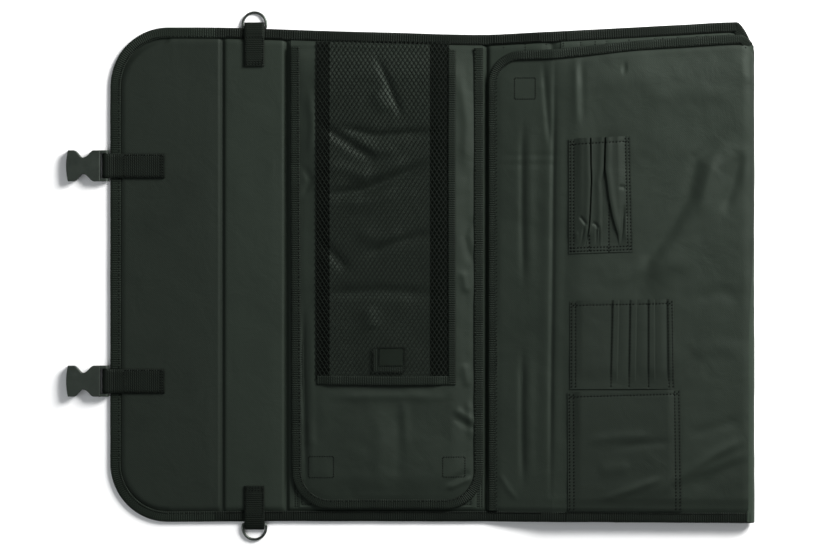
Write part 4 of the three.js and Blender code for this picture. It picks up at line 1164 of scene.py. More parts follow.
# Folds of the back guard flap: points, height (below 0 for a hollow) and half width
back_folds = [
    ([(-82.5, -24), (-83.5, -84), (-81.5, -154), (-80.5, -216)], -1.7, 2.4),
    ([(-75.5, -29), (-75.5, -84), (-74.5, -154), (-73.5, -214)], 0.8, 3.6),
    ([(-77.5, -141), (-76.5, -171)], 1.0, 5),
    ([(75.5, 6), (80.5, -18)], 1.2, 4),
    ([(77.5, -86), (81.5, -112)], 1.2, 4),
    ([(81.5, -122), (85.5, -164)], 1.3, 4),
    ([(66.5, -132), (90.5, -148)], 1.4, 4),
    ([(66.5, -140), (88.5, -154)], -1.0, 4),
    ([(59.5, -213), (86.5, -201)], 1.5, 2.8),
    ([(57.5, -208), (83.5, -195)], -0.9, 3.2),
    ([(-61.5, -121), (1.5, -120), (65.5, -121)], 1.0, 4.5),
    ([(-10.5, -122), (-6.5, -164), (-7.5, -214)], 0.9, 8),
    ([(9.5, -122), (13.5, -164), (11.5, -212)], -1.0, 6),
    ([(17.5, -124), (18.5, -174)], 0.9, 5),
    ([(-66.5, 151), (-28.5, 127), (-8.5, 116)], -3.0, 5.0),
    ([(-50.5, 149), (-9.5, 140), (52.5, 144)], -2.8, 4.6),
    ([(-68.5, 80), (-23.5, 85), (6.5, 97), (50.5, 115)], -3.2, 5.6),
    ([(-14.5, 230), (1.5, 194), (16.5, 156)], -2.2, 3.6),
    ([(-66.5, 36), (-36.5, 4)], -2.4, 5.4),
    ([(-22.5, 20), (6.5, 32), (46.5, 44)], -2.2, 5.4),
    ([(-66.5, -18), (-6.5, -15), (52.5, -18)], -2.2, 6),
    ([(-64.5, 112), (-34.5, 104), (-12.5, 92)], 1.4, 6),
    ([(-12.5, 184), (1.5, 164)], 1.8, 7),
    ([(-34.5, 133), (-8.5, 124), (13.5, 126)], 1.8, 6),
    ([(-36.5, 100), (-6.5, 103), (23.5, 118)], 1.9, 6),
    ([(-30.5, 44), (-4.5, 36), (18.5, 44)], 1.7, 8),
    ([(-20.5, -30), (-12.5, -54)], 1.7, 7),
    ([(-46.5, 71), (-14.5, 74), (13.5, 86)], 1.5, 7),
    ([(-78, 190), (-74, 150), (-77, 118)], 1.3, 4),
    ([(-84, 112), (-76, 96), (-84, 78)], -1.2, 3.5),
    ([(74, 205), (80, 150), (78, 100)], 1.2, 5),
    ([(86, 62), (78, 40), (86, 10)], -1.1, 4),
]
back_squares = [(-77.5, -52.7, -201.0, -180.0), (56.2, 78.4, -200.5, -180.6)]


def square(left, right, low, high):
    return [(left, low), (right, low), (right, high), (left, high), (left, low)]


def guard_left(y):
    """The left edge leans: it is nearer to the fold at the top."""
    return -94.4 - 2.0 * (np.asarray(y, float) - guard_foot) / 460


def back_inner(x):
    """Inner edge of the top tape, which the back guard flap is sewn under."""
    return top_edge(x) - binding_width


def guard_rim(x, y):
    """Distance in from the free edge of the back guard flap."""
    side = np.minimum(x - guard_left(y), guard_right - x)
    return rim_of(side, y - guard_foot, guard_radius)


def back_guard_top(x, y):
    """Upper face of the back guard flap: sewn under the top tape, swelling towards its middle."""
    x, y = np.asarray(x, float), np.asarray(y, float)
    rim = guard_rim(x, y)
    over = 0.25 * climb(rim, 6.5, 8) + 0.75 * climb(rim, 8, 26)
    out = climb(guard_hinge - y, 6, 30)
    level = under_tape + (beside_tape - under_tape) * climb(back_inner(x) - y, -1, 6)
    level = level + (guard_low - beside_tape) * climb(guard_hinge - y, 4, 14)
    level = level + (back_guard_high - guard_low) * over * out
    folds = pressed(x, y, back_folds) + 0.9 * crumple(x, y, 46, 21) + 0.32 * crumple(x, y, 15, 22)
    return level + folds * climb(rim, 5, 7) * out


def guard_side(y, right):
    """Right or left edge of the flap's cloth at a height y."""
    inset = rounded(guard_radius - 0.5 - (y - guard_foot), guard_radius, 0.6) + guard_inset
    return guard_right - inset if right else float(guard_left(y)) + inset


sides = (lambda y: guard_side(y, False), lambda y: guard_side(y, True))
plan = spread(guard_foot + guard_inset, guard_hinge + 2.2, sides, 1.5, upright=True)
piece = lay("back_guard", plan, back_guard_top, guard_cloth)
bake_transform(piece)
declare_cloth(piece, None, 191, 468, "guard_nylon", "back_guard_flap_cloth", rests_on=["back_slots"])

corner_left, corner_right = float(guard_left(guard_foot)) + guard_radius, guard_right - guard_radius
corner_low = guard_foot + guard_radius
guard_outline = ([], [])
places = np.arange(guard_top_end, corner_low, -2.0)
go(guard_outline, [(guard_left(y), y) for y in places], (1, 0, 0))
go_round(guard_outline, (corner_left, corner_low), guard_radius, range(180, 271, 4))
places = np.arange(guard_outline[0][-1][0] + 2, corner_right, 2.0)
go(guard_outline, [(x, guard_foot) for x in places], (0, 1, 0))
go_round(guard_outline, (corner_right, corner_low), guard_radius, range(270, 361, 4))
places = np.arange(corner_low + 2, guard_top_end + 0.5, 2.0)
go(guard_outline, [(guard_right, y) for y in places], (-1, 0, 0))
guard_line, guard_in = guard_outline
piece = edging("back_guard_edging", guard_line, guard_in, guard_tape, back_tape_low, back_tape_high)
fixed(piece, "back_guard_flap", "back_guard_flap_binding")

# Net pocket
net_left, net_right, net_foot, net_head = -70.6, 69.4, -101.0, 233.8
net_thread_right, net_pitch, net_rise = 63.0, 4.4, 6.8


def net_top(x, y):
    """Height of the net: a little over the flap, and slack towards its open end."""
    x, y = np.asarray(x, float), np.asarray(y, float)
    sides = climb(x - net_left, 3, 14) * climb(net_right - x, 9, 14)
    open_end = climb(net_head - y, 30, 190)
    calm = guard_low + (back_guard_high - guard_low) * climb(guard_hinge - y, 6, 20)
    calm = calm + 0.8 * (back_guard_top(x, y) - calm)
    lift = 0.55 + sides * (0.3 + 1.9 * open_end) + 0.35 * sides * crumple(x, y, 40, 61)
    return np.maximum(calm + lift, back_guard_top(x, y) + 0.35)


def knot_net(name, left, right, low, high, pitch, rise, height):
    """Knitted net: zigzag strands whose bends meet in turn, so that the holes are hexagons."""
    half, count = pitch / 2, int((high - low) / rise)
    shape = np.array([(0.0, -1), (0.16, -1), (0.33, 0), (0.5, 1), (0.66, 1), (0.83, 0)])
    y = (low + (np.arange(count)[:, None] + shape[:, 0]) * rise).ravel()
    bend = np.tile(shape[:, 1], count)
    section = np.array([(-0.5, 0, 0.0), (0.0, 0, 0.12), (0.5, 0, 0.0), (0.0, 0, -0.08)])
    points, faces, flat = [], [], []
    for m in range(int((right - left) / half) + 1):
        x = left + m * half + (-1) ** m * bend * half * 0.42
        line = np.stack([x, y, height(x, y)], -1)
        faces += (np.array(grid_faces(len(y), 4, ring=True)) + m * len(y) * 4).tolist()
        points.append((line[:, None] + section).reshape(-1, 3))
        flat.append(np.stack(np.meshgrid(y, [0, 1, 2, 3], indexing="ij"), -1).reshape(-1, 2))
    points = np.concatenate(points)
    if outward(points[:4 * len(y)], faces[:4 * (len(y) - 1)]) < 0:
        faces = [face[::-1] for face in faces]
    return make(name, points, faces, net_yarn, across=np.concatenate(flat))


piece = knot_net("mesh_net", net_left + 0.7, net_thread_right, net_foot - 3, net_head + 6,
                 net_pitch, net_rise, net_top)
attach(piece, "back_guard_flap")
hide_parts("mesh_pocket_net")

# Near-black strips of cloth under the net's two sides, where it shows darkest
for name, left, right in (("left", net_left, -56.7), ("right", 43.5, 62.6)):
    plan = spread(left, right, (net_foot, net_head), 1.5)
    cover = lambda x, y: back_guard_top(x, y) + 0.32
    piece = lay(f"net_dark_strip_{name}", plan, cover, black_cloth, 0.3)
    declare_cloth(piece, "back_guard_flap", right - left, 333, "ribbed_tape", rests_on=["back_guard"])


def laid_tape(name, points, inward, width, over):
    """Tape along an edge of the net, at the height of the net beside it."""
    line = curved([(x, y, 0) for x, y in points], 2.0)
    beside = line[:, :2] + np.array(inward[:2]) * over
    line[:, 2] = net_top(beside[:, 0], beside[:, 1]) - 1.9
    return edging(name, line, [inward] * len(line), width, 0.4, 2.6)


hem = [(net_left + 1.4, -108.6), (0, -109.2), (net_right - 0.5, -108.8)]
edge = [(net_right, 226), (net_right - 0.4, 100), (net_right, -108.5)]
pieces = [
    laid_tape("net_hem", hem, (0, 1, 0), 9.0, 8),
    laid_tape("net_edge", edge, (-1, 0, 0), 7.6, 7),
]
piece = together("net_edging", pieces)
fixed(piece, "back_guard_flap", "mesh_pocket_binding")

# Hook pad on its larger patch
for name, left, right, low, high, lift, material, slot, nodes in (
    ("net_patch", -13.7, 18.9, -96.5, -70.5, 0.1, edge_tape, "ribbed_tape", ()),
    ("net_hook_pad", -8, 18.0, -90.4, -71, 0.35, hook_loop, "hook_pad", ("mesh_pocket_hook_pad",)),
):
    cover = lambda x, y, lift=lift: net_top(x, y) + lift + 0.15 * crumple(x, y, 5, 71)
    plan = spread(left, right, (low, high), 1.0)
    piece = lay(name, plan, cover, material, 0.3)
    declare_cloth(piece, "back_guard_flap", right - left, high - low, slot, *nodes,
                  rests_on=["mesh_net"])
    outline = square(left + 1, right - 1, low + 1, high - 1)
    stitches(name + "_stitches", "back_guard_flap", [outline], cover, 2.2)


# Front guard flap

side_left, tuck_right = 101.8, front_edge + 1.3
margin_from = 353
front_radius = 32
front_square = square(127.9, 148.5, 176.5, 197.6)

# Folds of the front guard flap, given in the same way
front_folds = [
    ([(167.5, 222), (167.0, 156), (166.1, 93), (165.2, -14), (164.0, -124), (163.5, -236)],
     -2.0, 1.9),
    ([(160.0, 214), (160.5, 126), (159.5, 26), (158.0, -124), (157.5, -232)], 0.7, 5.5),
    ([(173.5, 216), (173.0, 93), (171.5, -14), (169.5, -124), (169.5, -232)], 0.7, 4.5),
    ([(156.5, 215), (159.5, 171), (163.5, 126)], -1.5, 2.8),
    ([(136.5, 158), (135.5, 126), (135.5, 76), (136.5, -14)], -1.5, 3.0),
    ([(135.5, -69), (135.0, -124), (135.5, -174), (136.5, -212)], -1.7, 3.0),
    ([(143.5, 156), (142.5, 76), (143.5, -14)], 1.0, 5),
    ([(143.5, -69), (142.5, -134), (143.5, -210)], 1.0, 5),
    ([(106.5, 120), (143.5, 120.5), (180.5, 120)], -0.4, 3),
    ([(106.5, 111), (143.5, 111), (180.5, 111.5)], -0.4, 3),
    ([(188.5, 218), (189.5, 148)], 0.9, 3.5),
    ([(194.5, 216), (195.5, 150)], -0.8, 3.5),
    ([(234.5, 207), (239.5, 206.5)], -1.0, 5),
    ([(340.5, 148), (331.5, 135), (309.5, 116), (301.5, 79), (281.5, 44), (262.5, 18), (253.5, -16)],
     -2.2, 7.5),
    ([(350, 141), (343, 128), (323, 109), (315, 72), (295, 37), (276, 11), (267, -23)], 3.2, 15),
    ([(353.5, 126), (344.5, 89), (333.5, 60)], -2.2, 6.5),
    ([(257, -222), (307, -191), (357, -160)], 1.4, 6),
    ([(297, -196), (325, -178), (357, -163)], 0.8, 5),
    ([(299.5, -159), (325.5, -151), (355.5, -143)], -0.9, 6),
    ([(303.5, -211), (331.5, -197), (361.5, -182)], -0.7, 7),
    ([(293.5, -203), (325.5, -190), (361.5, -176)], 0.9, 5),
    ([(303.5, -24), (333.5, -16), (357.5, -24)], -0.8, 8),
    ([(301.5, -76), (328.5, -69), (355.5, -76)], 0.8, 9),
    ([(253.5, 176), (303.5, 184), (351.5, 178)], 0.9, 10),
    ([(213.5, -9), (253.5, 6), (313.5, 14)], 0.8, 9),
    ([(153.5, -221), (165.5, -224), (179.5, -222)], 0.6, 4),
    ([(112, -196), (121, -212), (132, -226)], 0.9, 3),
    ([(330, 120), (318, 92), (312, 60)], 1.0, 6),
]


def guard_head(x):
    """Free top edge of the front guard flap, which rises to the right and falls at the roll."""
    rise = traced(x, [(100, 224.3), (152, 224.9), (180, 227.0), (256, 235.2), (345, 240.6)])
    return rise - falling(x, margin_from, 13, 10)


def front_rim(x, y):
    """Distance in from the free edges of the front guard flap."""
    return rim_of(x - side_left, guard_head(x) - y, front_radius)


def roll_off(x):
    """How far the right margin of the flap has rolled down over the edge of the case."""
    share = np.clip((np.asarray(x, float) - 353.5) / 13.4, 0, 0.998)
    return 7.4 * (1 - np.sqrt(1 - share**2))


def front_level(x, y):
    """The front guard flap without its folds."""
    inside = climb(front_rim(x, y), 6.5, 8)
    under = climb(y - low_edge(x) - binding_width, -1.5, 6)
    rise = 0.35 * climb(y + guard_hinge, 1, 12) + 0.65 * climb(y + guard_hinge, 4, 110)
    panel = climb(x, front_fold - 2, 32)
    level = under_tape + 1.9 * under + 0.5 * inside
    inside = 0.25 * inside + 0.75 * climb(front_rim(x, y), 9, 34)
    return level + (0.5 + (guard_high - 6.0) * panel) * inside * rise


def front_guard_top(x, y):
    """Upper face of the front guard flap."""
    x, y = np.asarray(x, float), np.asarray(y, float)
    folds = pressed(x, y, front_folds) + 1.0 * crumple(x, y, 62, 31) + 0.3 * crumple(x, y, 18, 32)
    keep = climb(front_rim(x, y), 5, 7) * climb(y + guard_hinge, 1, 20)
    return ground(x) + front_level(x, y) + folds * keep - roll_off(x)


def head_side(x):
    """Top edge of the front guard flap's cloth."""
    inset = rounded(front_radius - (x - side_left), front_radius, 0.1) + guard_inset
    return float(guard_head(x)) - inset


def drawn_back(x, y):
    """Lower down, the right margin of the flap stops short of the roll."""
    return x - 0.44 * np.maximum(x - margin_from, 0) * climb(70 - y, 0, 150)


def crease_over(piece):
    """The flap's transform is baked into its mesh."""
    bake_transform(piece)


# Its columns are closer together where the margin rolls down over the edge
foot_from, foot_to = -guard_hinge - 2.8, -guard_hinge + 9.5
flap_from = side_left + guard_inset
grid_step, margin_step = 1.5, 0.8
columns = np.concatenate([
    even(flap_from, margin_from, grid_step), even(margin_from, tuck_right, margin_step)[1:],
])
rows = round(1 + (head_side(margin_from) - foot_to) / grid_step)
heads = np.array([head_side(value) for value in columns])
x = np.repeat(columns[:, None], rows, axis=1)
y = foot_to + (heads[:, None] - foot_to) * np.linspace(0, 1, rows)
piece = lay("front_guard", (drawn_back(x, y), y), front_guard_top, guard_cloth)
crease_over(piece)
declare_cloth(piece, None, tuck_right - side_left + 4, 466, "guard_nylon", "front_guard_flap_cloth",
              "front_guard_side_cloth", "front_guard_crease", rests_on=["front_slots"])
sides = (foot_from, foot_to)
plan = spread(flap_from, front_fold, sides, grid_step)
piece = lay("front_guard_side_foot", plan, front_guard_top, guard_cloth)
crease_over(piece)
foot_high = 12.3
declare_cloth(piece, None, front_fold - side_left, foot_high, "guard_nylon", rests_on=["front_guard"])
plan = spread(front_fold, drawn_back(tuck_right, foot_to), sides, grid_step)
piece = lay("front_guard_foot", plan, front_guard_top, guard_cloth)
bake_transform(piece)
declare_cloth(piece, None, 195, foot_high, "guard_nylon", rests_on=["front_guard"])

# Tape up its left side, round the corner and along its free top
front_tape_dip = 0.95


def front_tape_foot(x):
    """Underside of the tape; it lies lower beside the fold, clear of the back guard flap."""
    dip = front_tape_dip * (1 - climb(x, side_left + 8, 30))
    return ground(x) - roll_off(x) + front_tape_low - dip


front_outline = ([], [])
places = np.arange(-guard_hinge - 1, 224.3 - front_radius, 2.0)
go(front_outline, [(side_left, y) for y in places], (1, 0, 0))
go_round(front_outline, (side_left + front_radius, -front_radius), front_radius,
         np.arange(180, 91, -4.0), lambda x, y: guard_head(x) + y)
along_head = np.arange(side_left + front_radius + 2, tuck_right, 1.5)
head_line = np.stack([along_head, guard_head(along_head), 0 * along_head], -1)
front_line = np.concatenate([front_outline[0], head_line])
front_in = np.concatenate([front_outline[1], turned_in(head_line, True)])
front_line[:, 2] = front_tape_foot(front_line[:, 0]) - front_tape_low
piece = edging("front_guard_edging", front_line, front_in, guard_tape, front_tape_low, front_tape_high)
crease_over(piece)
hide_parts("front_guard_flap_binding", "front_guard_side_binding")


# Pockets on the front guard flap


def flat_under(x, y):
    """The guard flap under a pocket, with its folds mostly pressed out."""
    calm = ground(x) + front_level(x, y)
    return calm + 0.4 * (front_guard_top(x, y) - calm)


pocket_clear = 0.9


def pocket(name, node, corners, seams, shape, lift, step):
    """A pocket sewn round three sides, its corners given low left, low right, high right, left."""
    low_left, low_right, high_right, high_left = (np.array(corner, float) for corner in corners)
    wide = float(np.linalg.norm(high_right - high_left))
    tall = float(np.linalg.norm(high_left - low_left))

    def height(x, y):
        x, y = np.asarray(x, float), np.asarray(y, float)
        up = np.clip((y - low_left[1]) / (high_left[1] - low_left[1]), 0, 1)
        left = low_left[0] + (high_left[0] - low_left[0]) * up
        right = low_right[0] + (high_right[0] - low_right[0]) * up
        full = climb(x - left, 4.5, 9) * climb(right - x, 4.5, 9) * climb(up * tall, 6, 22)
        mouth = 0.45 + 0.55 * climb(up, 0.2, 0.8)
        body = flat_under(x, y) + lift * full * mouth + shape(x, y) * climb(up * tall, 6, 16)
        lowest = front_guard_top(x, y)
        return np.maximum(body, lowest) + pocket_clear + sewn_in(x, y, seams, 0.22)

    s = np.linspace(0, 1, round(wide / step))[None, :]
    t = np.linspace(0, 1, round(tall))[:, None]
    foot = low_left + (low_right - low_left) * s[..., None]
    head = high_left + (high_right - high_left) * s[..., None]
    spots = foot + (head - foot) * t[..., None]
    piece = lay(name + "_front", (spots[..., 0], spots[..., 1]), height, pocket_cloth)
    declare_cloth(piece, "front_guard_flap", wide, tall, "guard_nylon", node, rests_on=["front_guard"])
    stitches(name + "_stitches", "front_guard_flap", seams, height, 3.3, 2.0, 1.2, 0.4)


def wall(gap, width=0.5):
    """A sharp step up where gap passes from below 0 to above it."""
    return climb(gap, -width / 2, width)


# Left edges of the two pleats, and where the open one ends, at rows up the pocket
pleat_rows = [25, 28, 41.7, 44.2, 50, 60.5, 78, 94, 98, 105.5, 139.2]
pleat_one = [196.9, 197.4, 200.4, 201.0, 201.7, 202.5, 203.2, 203.8, 203.7, 203.5, 202.8]
pleat_two = [213.8, 213.9, 214.5, 214.6, 214.8, 214.8, 214.6, 213.8, 214.9, 216.0, 217.0]
pleat_end = [231.5, 231.3, 229.4, 228.6, 226.6, 223.9, 220.6, 218.6, 218.1, 217.0, 217.6]
pleat_creases = [
    ([(192, 60), (196, 55), (199.5, 50)], -1.2, 1.5),
    ([(204.5, 53), (208, 51.5), (211.5, 47)], -1.2, 1.5),
    ([(209.3, 50), (208.6, 24)], -1.3, 1.2), ([(211.8, 50), (210.8, 24)], -1.1, 1.0),
    ([(197, 50), (192.5, 24)], -1.1, 1.2), ([(200, 44), (201.3, 24)], -1.0, 1.0),
    ([(236.5, 72), (235, 50), (232.8, 26)], -1.2, 1.6), ([(231, 89), (238, 88)], -0.9, 1.8),
    ([(189, 45), (190, 28)], 0.8, 2.2), ([(238, 62), (238.5, 32)], 0.8, 2.2),
]


def pleats(x, y):
    """Two deep pleats: a closed one, and one that opens downwards into a wedge."""
    one, two, end = (np.interp(y, pleat_rows, rows) for rows in (pleat_one, pleat_two, pleat_end))
    slit = 1 - wall(abs(x - one) - 0.55)
    wedge = wall(x - two) * wall(end + 0.5 - x)
    edges = 0.9 * np.exp(-(((x - one + 3) / 3.5) ** 2)) + 0.8 * np.exp(-(((x - two + 3) / 3) ** 2))
    edges = edges + 1.0 * np.exp(-(((x - end - 3) / 3.5) ** 2)) * climb(y, 20, 40)
    return 0.6 + edges * (1 - wedge) - 3.4 * slit - 3.0 * wedge + pressed(x, y, pleat_creases)


def sides_of(low_left, low_right, high_right, high_left, insets, hem, foot=()):
    """Stitch lines down both sides, along the hem and along the foot of a pocket."""
    lines = []
    for inset in insets:
        for low, high, way in ((low_left, high_left, 1), (low_right, high_right, -1)):
            lines.append([(low[0] + way * inset, low[1] + 1), (high[0] + way * inset, high[1] - 1)])
    lines.append([(high_left[0] + 2, high_left[1] - hem), (high_right[0] - 2, high_right[1] - hem)])
    for rise in foot:
        lines.append([(low_left[0] + 1, low_left[1] + rise), (low_right[0] - 1, low_right[1] + rise)])
    return lines


corners = ((181.6, 22.2), (245.4, 24.2), (242.7, 139.4), (181.6, 136.4))
seams = sides_of(*corners, (1.6, 5.0), 5.3, (2.3, 5.6))
seams += [[(221.5, 72), (221.5, 23)], [(202.2, 42), (202.2, 24)]]
pocket("pleated", "pleated_pocket", corners, seams, pleats, 2.3, 0.42)

# Seams between the slots and the folded edges that lap over them, at the top and at the bottom
card_folds = [((225.4, 223.5), (231.3, 229.4)), ((242.9, 241.6), (248.9, 247.5)),
              ((261.0, 261.0), (266.6, 267.0)), ((279.8, 280.5), (285.6, 286.6))]


def pen_slots(x, y):
    """Narrow slots, each lapping over the next with a folded edge."""
    down = np.clip((-25.0 - y) / 88, 0, 1)
    total, start = np.zeros(np.shape(x)), 188.5 + 0 * x
    for seam, fold in card_folds:
        here, lap = (pair[0] + (pair[1] - pair[0]) * down for pair in (seam, fold))
        share = np.clip((x - start) / (here - start), 0, 1)
        total = total + 0.6 * np.sin(math.pi * share) ** 0.7 * (x > start) * (x < here)
        total = total + 1.4 * wall(x - here + 0.3, 2.4) * wall(lap - x)
        start = lap
    return total + 0.25 * crumple(x, y, 24, 81)


corners = ((182.9, -112.6), (286.8, -112.4), (285.5, -22.9), (182.9, -24.8))
seams = sides_of(*corners, (1.4, 5.4), 4.4)
seams += [[(low, -111), (high, -26)] for (high, low), _ in card_folds[:3]]
pocket("card", "card_pocket", corners, seams, pen_slots, 0.9, 0.5)

lower_folds = [
    ([(206.5, -228), (243.5, -213), (277.5, -200)], 1.5, 4.5),
    ([(225.5, -171), (255.5, -167), (285.5, -165)], -0.7, 4.5),
    ([(198.5, -164), (231.5, -160), (265.5, -159)], 0.8, 5),
    ([(209.5, -194), (243.5, -190)], 0.8, 7),
]
corners = ((181.0, -234.6), (294.6, -234.6), (292.8, -112.6), (180.4, -115.6))
pocket("lower", "lower_pocket", corners, sides_of(*corners, (1.8, 6.0), 4.6),
       lambda x, y: pressed(x, y, lower_folds) + 0.3 * crumple(x, y, 40, 82) + 0.3, 1.8, 1.3)


# Straps, rings and buckles

ring_wire, ring_half, ring_tilt = 1.35, 11.6, math.radians(5)
ring_x, ring_z = hinge["top_ring_swivel"].x, hinge["top_ring_swivel"].z
strap_thick = 1.1
ring_strap_top, buckle_strap_top = 6.42, 6.46
ring_seams, ring_seam_x = (211.5, 214.0, 238.5), 8.6
buckle_seams, buckle_seam_end = (-223.3, -225.4, -262), -223.5
# The straps run out over their panel, round the bar and back: distance out, and height
ring_loop = [(209.6, 4.75), (218, 4.7), (241.5, 4.7), (244.4, 4.3), (245.7, 3.0), (246.9, 1.2),
             (249.0, 0.8), (251.8, 1.2), (252.9, 2.5), (252.0, 4.1), (249.0, 5.3), (244.5, 5.95),
             (240, 6.0), (218, 5.85), (209.6, 5.85)]
ring_shape = [(1.5 - ring_half, 0), (0, 0), (ring_half - 1.5, 0), (ring_half - 0.25, 0.45),
              (ring_half, 1.8), (ring_half, 3.2)]
bow = np.radians(range(15, 180, 15))
ring_shape += [(ring_half * math.cos(a), 3.2 + 12.0 * math.sin(a)) for a in bow]
ring_shape += [(-ring_half, 3.2), (-ring_half, 1.8), (0.25 - ring_half, 0.45)]
round_wire = np.radians(range(0, 360, 30))
wire_profile = [(ring_wire * math.cos(a), ring_wire * math.sin(a)) for a in round_wire]
for end, sign in (("top", 1), ("bottom", -1)):
    bar = abs(hinge[end + "_ring_swivel"].y)
    line = [(ring_x, sign * y, z) for y, z in ring_loop]
    piece = webbing(end + "_ring_strap", line, (1, 0, 0), 20, strap_thick)
    fixed(piece, "first_spine", end + "_ring_tab")
    lines = [[(ring_x - 9, sign * y), (ring_x + 9, sign * y)] for y in ring_seams]
    for x in (ring_x - ring_seam_x, ring_x + ring_seam_x):
        lines.append([(x, sign * ring_seams[0]), (x, sign * ring_seams[-1])])
    stitches(end + "_ring_strap_stitches", "first_spine", lines, lambda x, y: ring_strap_top)
    tilted = [(ring_x + x, sign * (bar + y * math.cos(ring_tilt)), ring_z - y * math.sin(ring_tilt))
              for x, y in ring_shape]
    route = curved(tilted, 0.7, closed=True)
    run = unit(np.roll(route, -1, axis=0) - np.roll(route, 1, axis=0))
    flat_up = np.tile([0, sign * math.sin(ring_tilt), math.cos(ring_tilt)], (len(route), 1))
    piece = swept(end + "_ring", wire_profile, (route, np.cross(run, flat_up), flat_up), metal, True)
    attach(piece, end + "_d_ring")
    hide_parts(end + "_d_ring")

buckle_width = 24.5
socket_loop = [(-221.5, 4.75), (-240, 4.75), (-268, 4.7), (-275.5, 4.6), (-278.8, 3.3), (-280.8, 2.1),
               (-283.0, 2.9), (-283.3, 4.6), (-282.0, 6.3), (-279.5, 6.9), (-276, 6.6), (-270, 5.95),
               (-240, 5.9), (-221.5, 5.9)]
plug_loop = [(168.3, 7.55), (176, 7.5), (200, 7.4), (206, 6.9), (208.4, 6.0), (207.0, 4.2),
             (208.2, 1.7), (210.6, 1.7), (211.8, 3.75), (211.4, 6.4), (209.2, 8.2), (206, 8.85),
             (200, 9.0), (168.3, 9.1)]
for end in ("top", "bottom"):
    for name, joint, loop, body, node in (
        ("_buckle_strap", "_socket_swivel", socket_loop, "closing_flap", "_buckle_webbing"),
        ("_plug_strap", "_plug_swivel", plug_loop, "front_panel", "_plug_webbing"),
    ):
        y = hinge[end + joint].y
        line = [(x, y, z) for x, z in loop]
        piece = webbing(end + name, line, (0, 1, 0), buckle_width, strap_thick)
        fixed(piece, body, end + node)
    y = hinge[end + "_socket_swivel"].y
    half = buckle_width / 2 - 1.5
    lines = [[(x, y - half), (x, y + half)] for x in buckle_seams]
    for row in (y - half, y + half):
        lines.append([(buckle_seam_end, row), (buckle_seams[-1], row)])
    stitches(end + "_buckle_strap_stitches", "closing_flap", lines, lambda x, y: buckle_strap_top)

# CAD pieces that keep their shape get their finish here
for node in frame["nodes"].values():
    kept = plastic if "_buckle_" in node.name or "_plug_" in node.name else board_card
    if node.name.endswith(("_board", "_socket", "_plug", "_arm")):
        node.data.materials.clear()
        node.data.materials.append(kept)


# Stitching along the tapes; beside a fold it stops edge_stitch_gap short of the tape's end

edge_stitch_gap = 3.4
last_edge_stitch = 349


def inset_line(line, inward, inset):
    """Every second point of a tape's line, moved in by inset."""
    line, inward = np.asarray(line, float)[::2], unit(np.asarray(inward, float))[::2]
    return line[:, :2] + inward[:, :2] * inset


def on_edging(x, y):
    """Upper face of the shell's tape."""
    return ground(x) + binding_top


def on_front_edging(x, y):
    """Upper face of the front guard flap's tape."""
    return front_tape_foot(x) + front_tape_high - front_tape_low


for body, (start, end) in spans.items():
    last = body == "front_panel"
    first = start - (tape_gap if last else tape_gap - edge_stitch_gap)
    x = np.linspace(first, last_edge_stitch if last else end + tape_gap - edge_stitch_gap, 40)
    lines = [np.stack([x, edge(x) + sign * (binding_width - stitch_inset)], -1)
             for edge, sign in ((top_edge, -1), (low_edge, 1))]
    stitches(body + "_edge_stitches", body, lines, on_edging)
lines = [inset_line(flap_line, flap_inward, binding_width - stitch_inset)]
stitches("closing_flap_edge_stitches", "closing_flap", lines, on_edging)
lines = [square(*sides) for sides in back_squares]
stitches("back_guard_stitches", "back_guard_flap", lines, back_guard_top, 2.4)
guard_stitch_line = guard_tape - guard_stitch_inset
lines = [inset_line(guard_line, guard_in, guard_stitch_line)]
stitches("back_guard_edge_stitches", "back_guard_flap", lines, lambda x, y: back_tape_high)
stitches("front_guard_side_stitches", "front_guard_side", [front_square], front_guard_top, 2.4)
left_part, right_part = front_line[:, 0] < 156, front_line[:, 0] > 175
for body, keep in (("front_guard_side", left_part), ("front_guard_flap", right_part)):
    lines = [inset_line(front_line[keep], front_in[keep], guard_stitch_line)]
    stitches(body + "_edge_stitches", body, lines, on_front_edging)


# Floor, light and camera

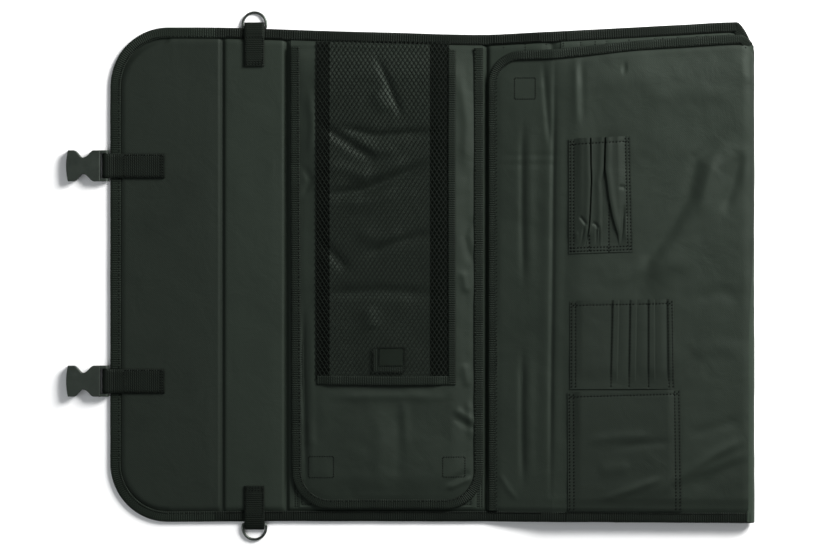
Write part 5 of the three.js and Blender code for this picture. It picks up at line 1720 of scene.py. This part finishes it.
mesh = bpy.data.meshes.new("floor")
reach, sunk = 6, -0.0003
floor_corners = [(x, y, sunk) for x, y in square(-reach, reach, -reach, reach)[:4]]
mesh.from_pydata(floor_corners, [], [(0, 1, 2, 3)])
floor = bpy.data.objects.new("floor", mesh)
bpy.context.scene.collection.objects.link(floor)
paper, tree, shader = finish("white paper", 0.9, Specular_IOR_Level=0.1)
tone = placed(tree, tone_effect, Vector=in_mm(tree, "Object"), Colour=(0.86, 0.865, 0.87, 1),
              Other_colour=(0.88, 0.88, 0.88, 1), Patch=0.004, Fleck=0.1)
tree.links.new(tone.outputs[0], shader.inputs["Base Color"])
mesh.materials.append(paper)

world = bpy.data.worlds.new("studio")
bpy.context.scene.world = world
world.use_nodes = True
sky = world.node_tree.nodes["Background"]
sky.inputs["Color"].default_value = (0.95, 0.98, 1.0, 1)
sky.inputs["Strength"].default_value = 0.26


def soft_box(name, place, aim, size, power, colour):
    """A square lamp of a size in metres, aimed at a point."""
    light = bpy.data.lights.new(name, "AREA")
    light.size = size
    light.energy = power
    light.color = colour
    lamp = bpy.data.objects.new(name, light)
    bpy.context.scene.collection.objects.link(lamp)
    lamp.location = place
    lamp.rotation_mode = "QUATERNION"
    lamp.rotation_quaternion = (Vector(aim) - Vector(place)).to_track_quat("-Z", "Y")


soft_box("key", (1.3, 1.15, 1.15), (0.05, 0, 0), 1.0, 112, (1, 0.99, 0.98))
soft_box("fill", (-1.6, -0.6, 2.0), (0, 0, 0), 2.0, 14, (0.94, 0.97, 1))

# The photo's size, and the pixel that the origin lies at
case_middle = (386.5, 276)
picture = (833, 555)
camera_height = 4.0
sensor = 36
lens = bpy.data.cameras.new("camera")
lens.sensor_width = sensor
lens.lens = sensor * camera_height / (picture[0] * MM)
lens.clip_end = 20
camera = bpy.data.objects.new("camera", lens)
bpy.context.scene.collection.objects.link(camera)
camera.location = (
    (picture[0] / 2 - case_middle[0]) * MM,
    (case_middle[1] - picture[1] / 2) * MM,
    camera_height,
)
bpy.context.scene.camera = camera
bpy.context.scene.view_settings.view_transform = "Standard"

bpy.context.view_layer.update()
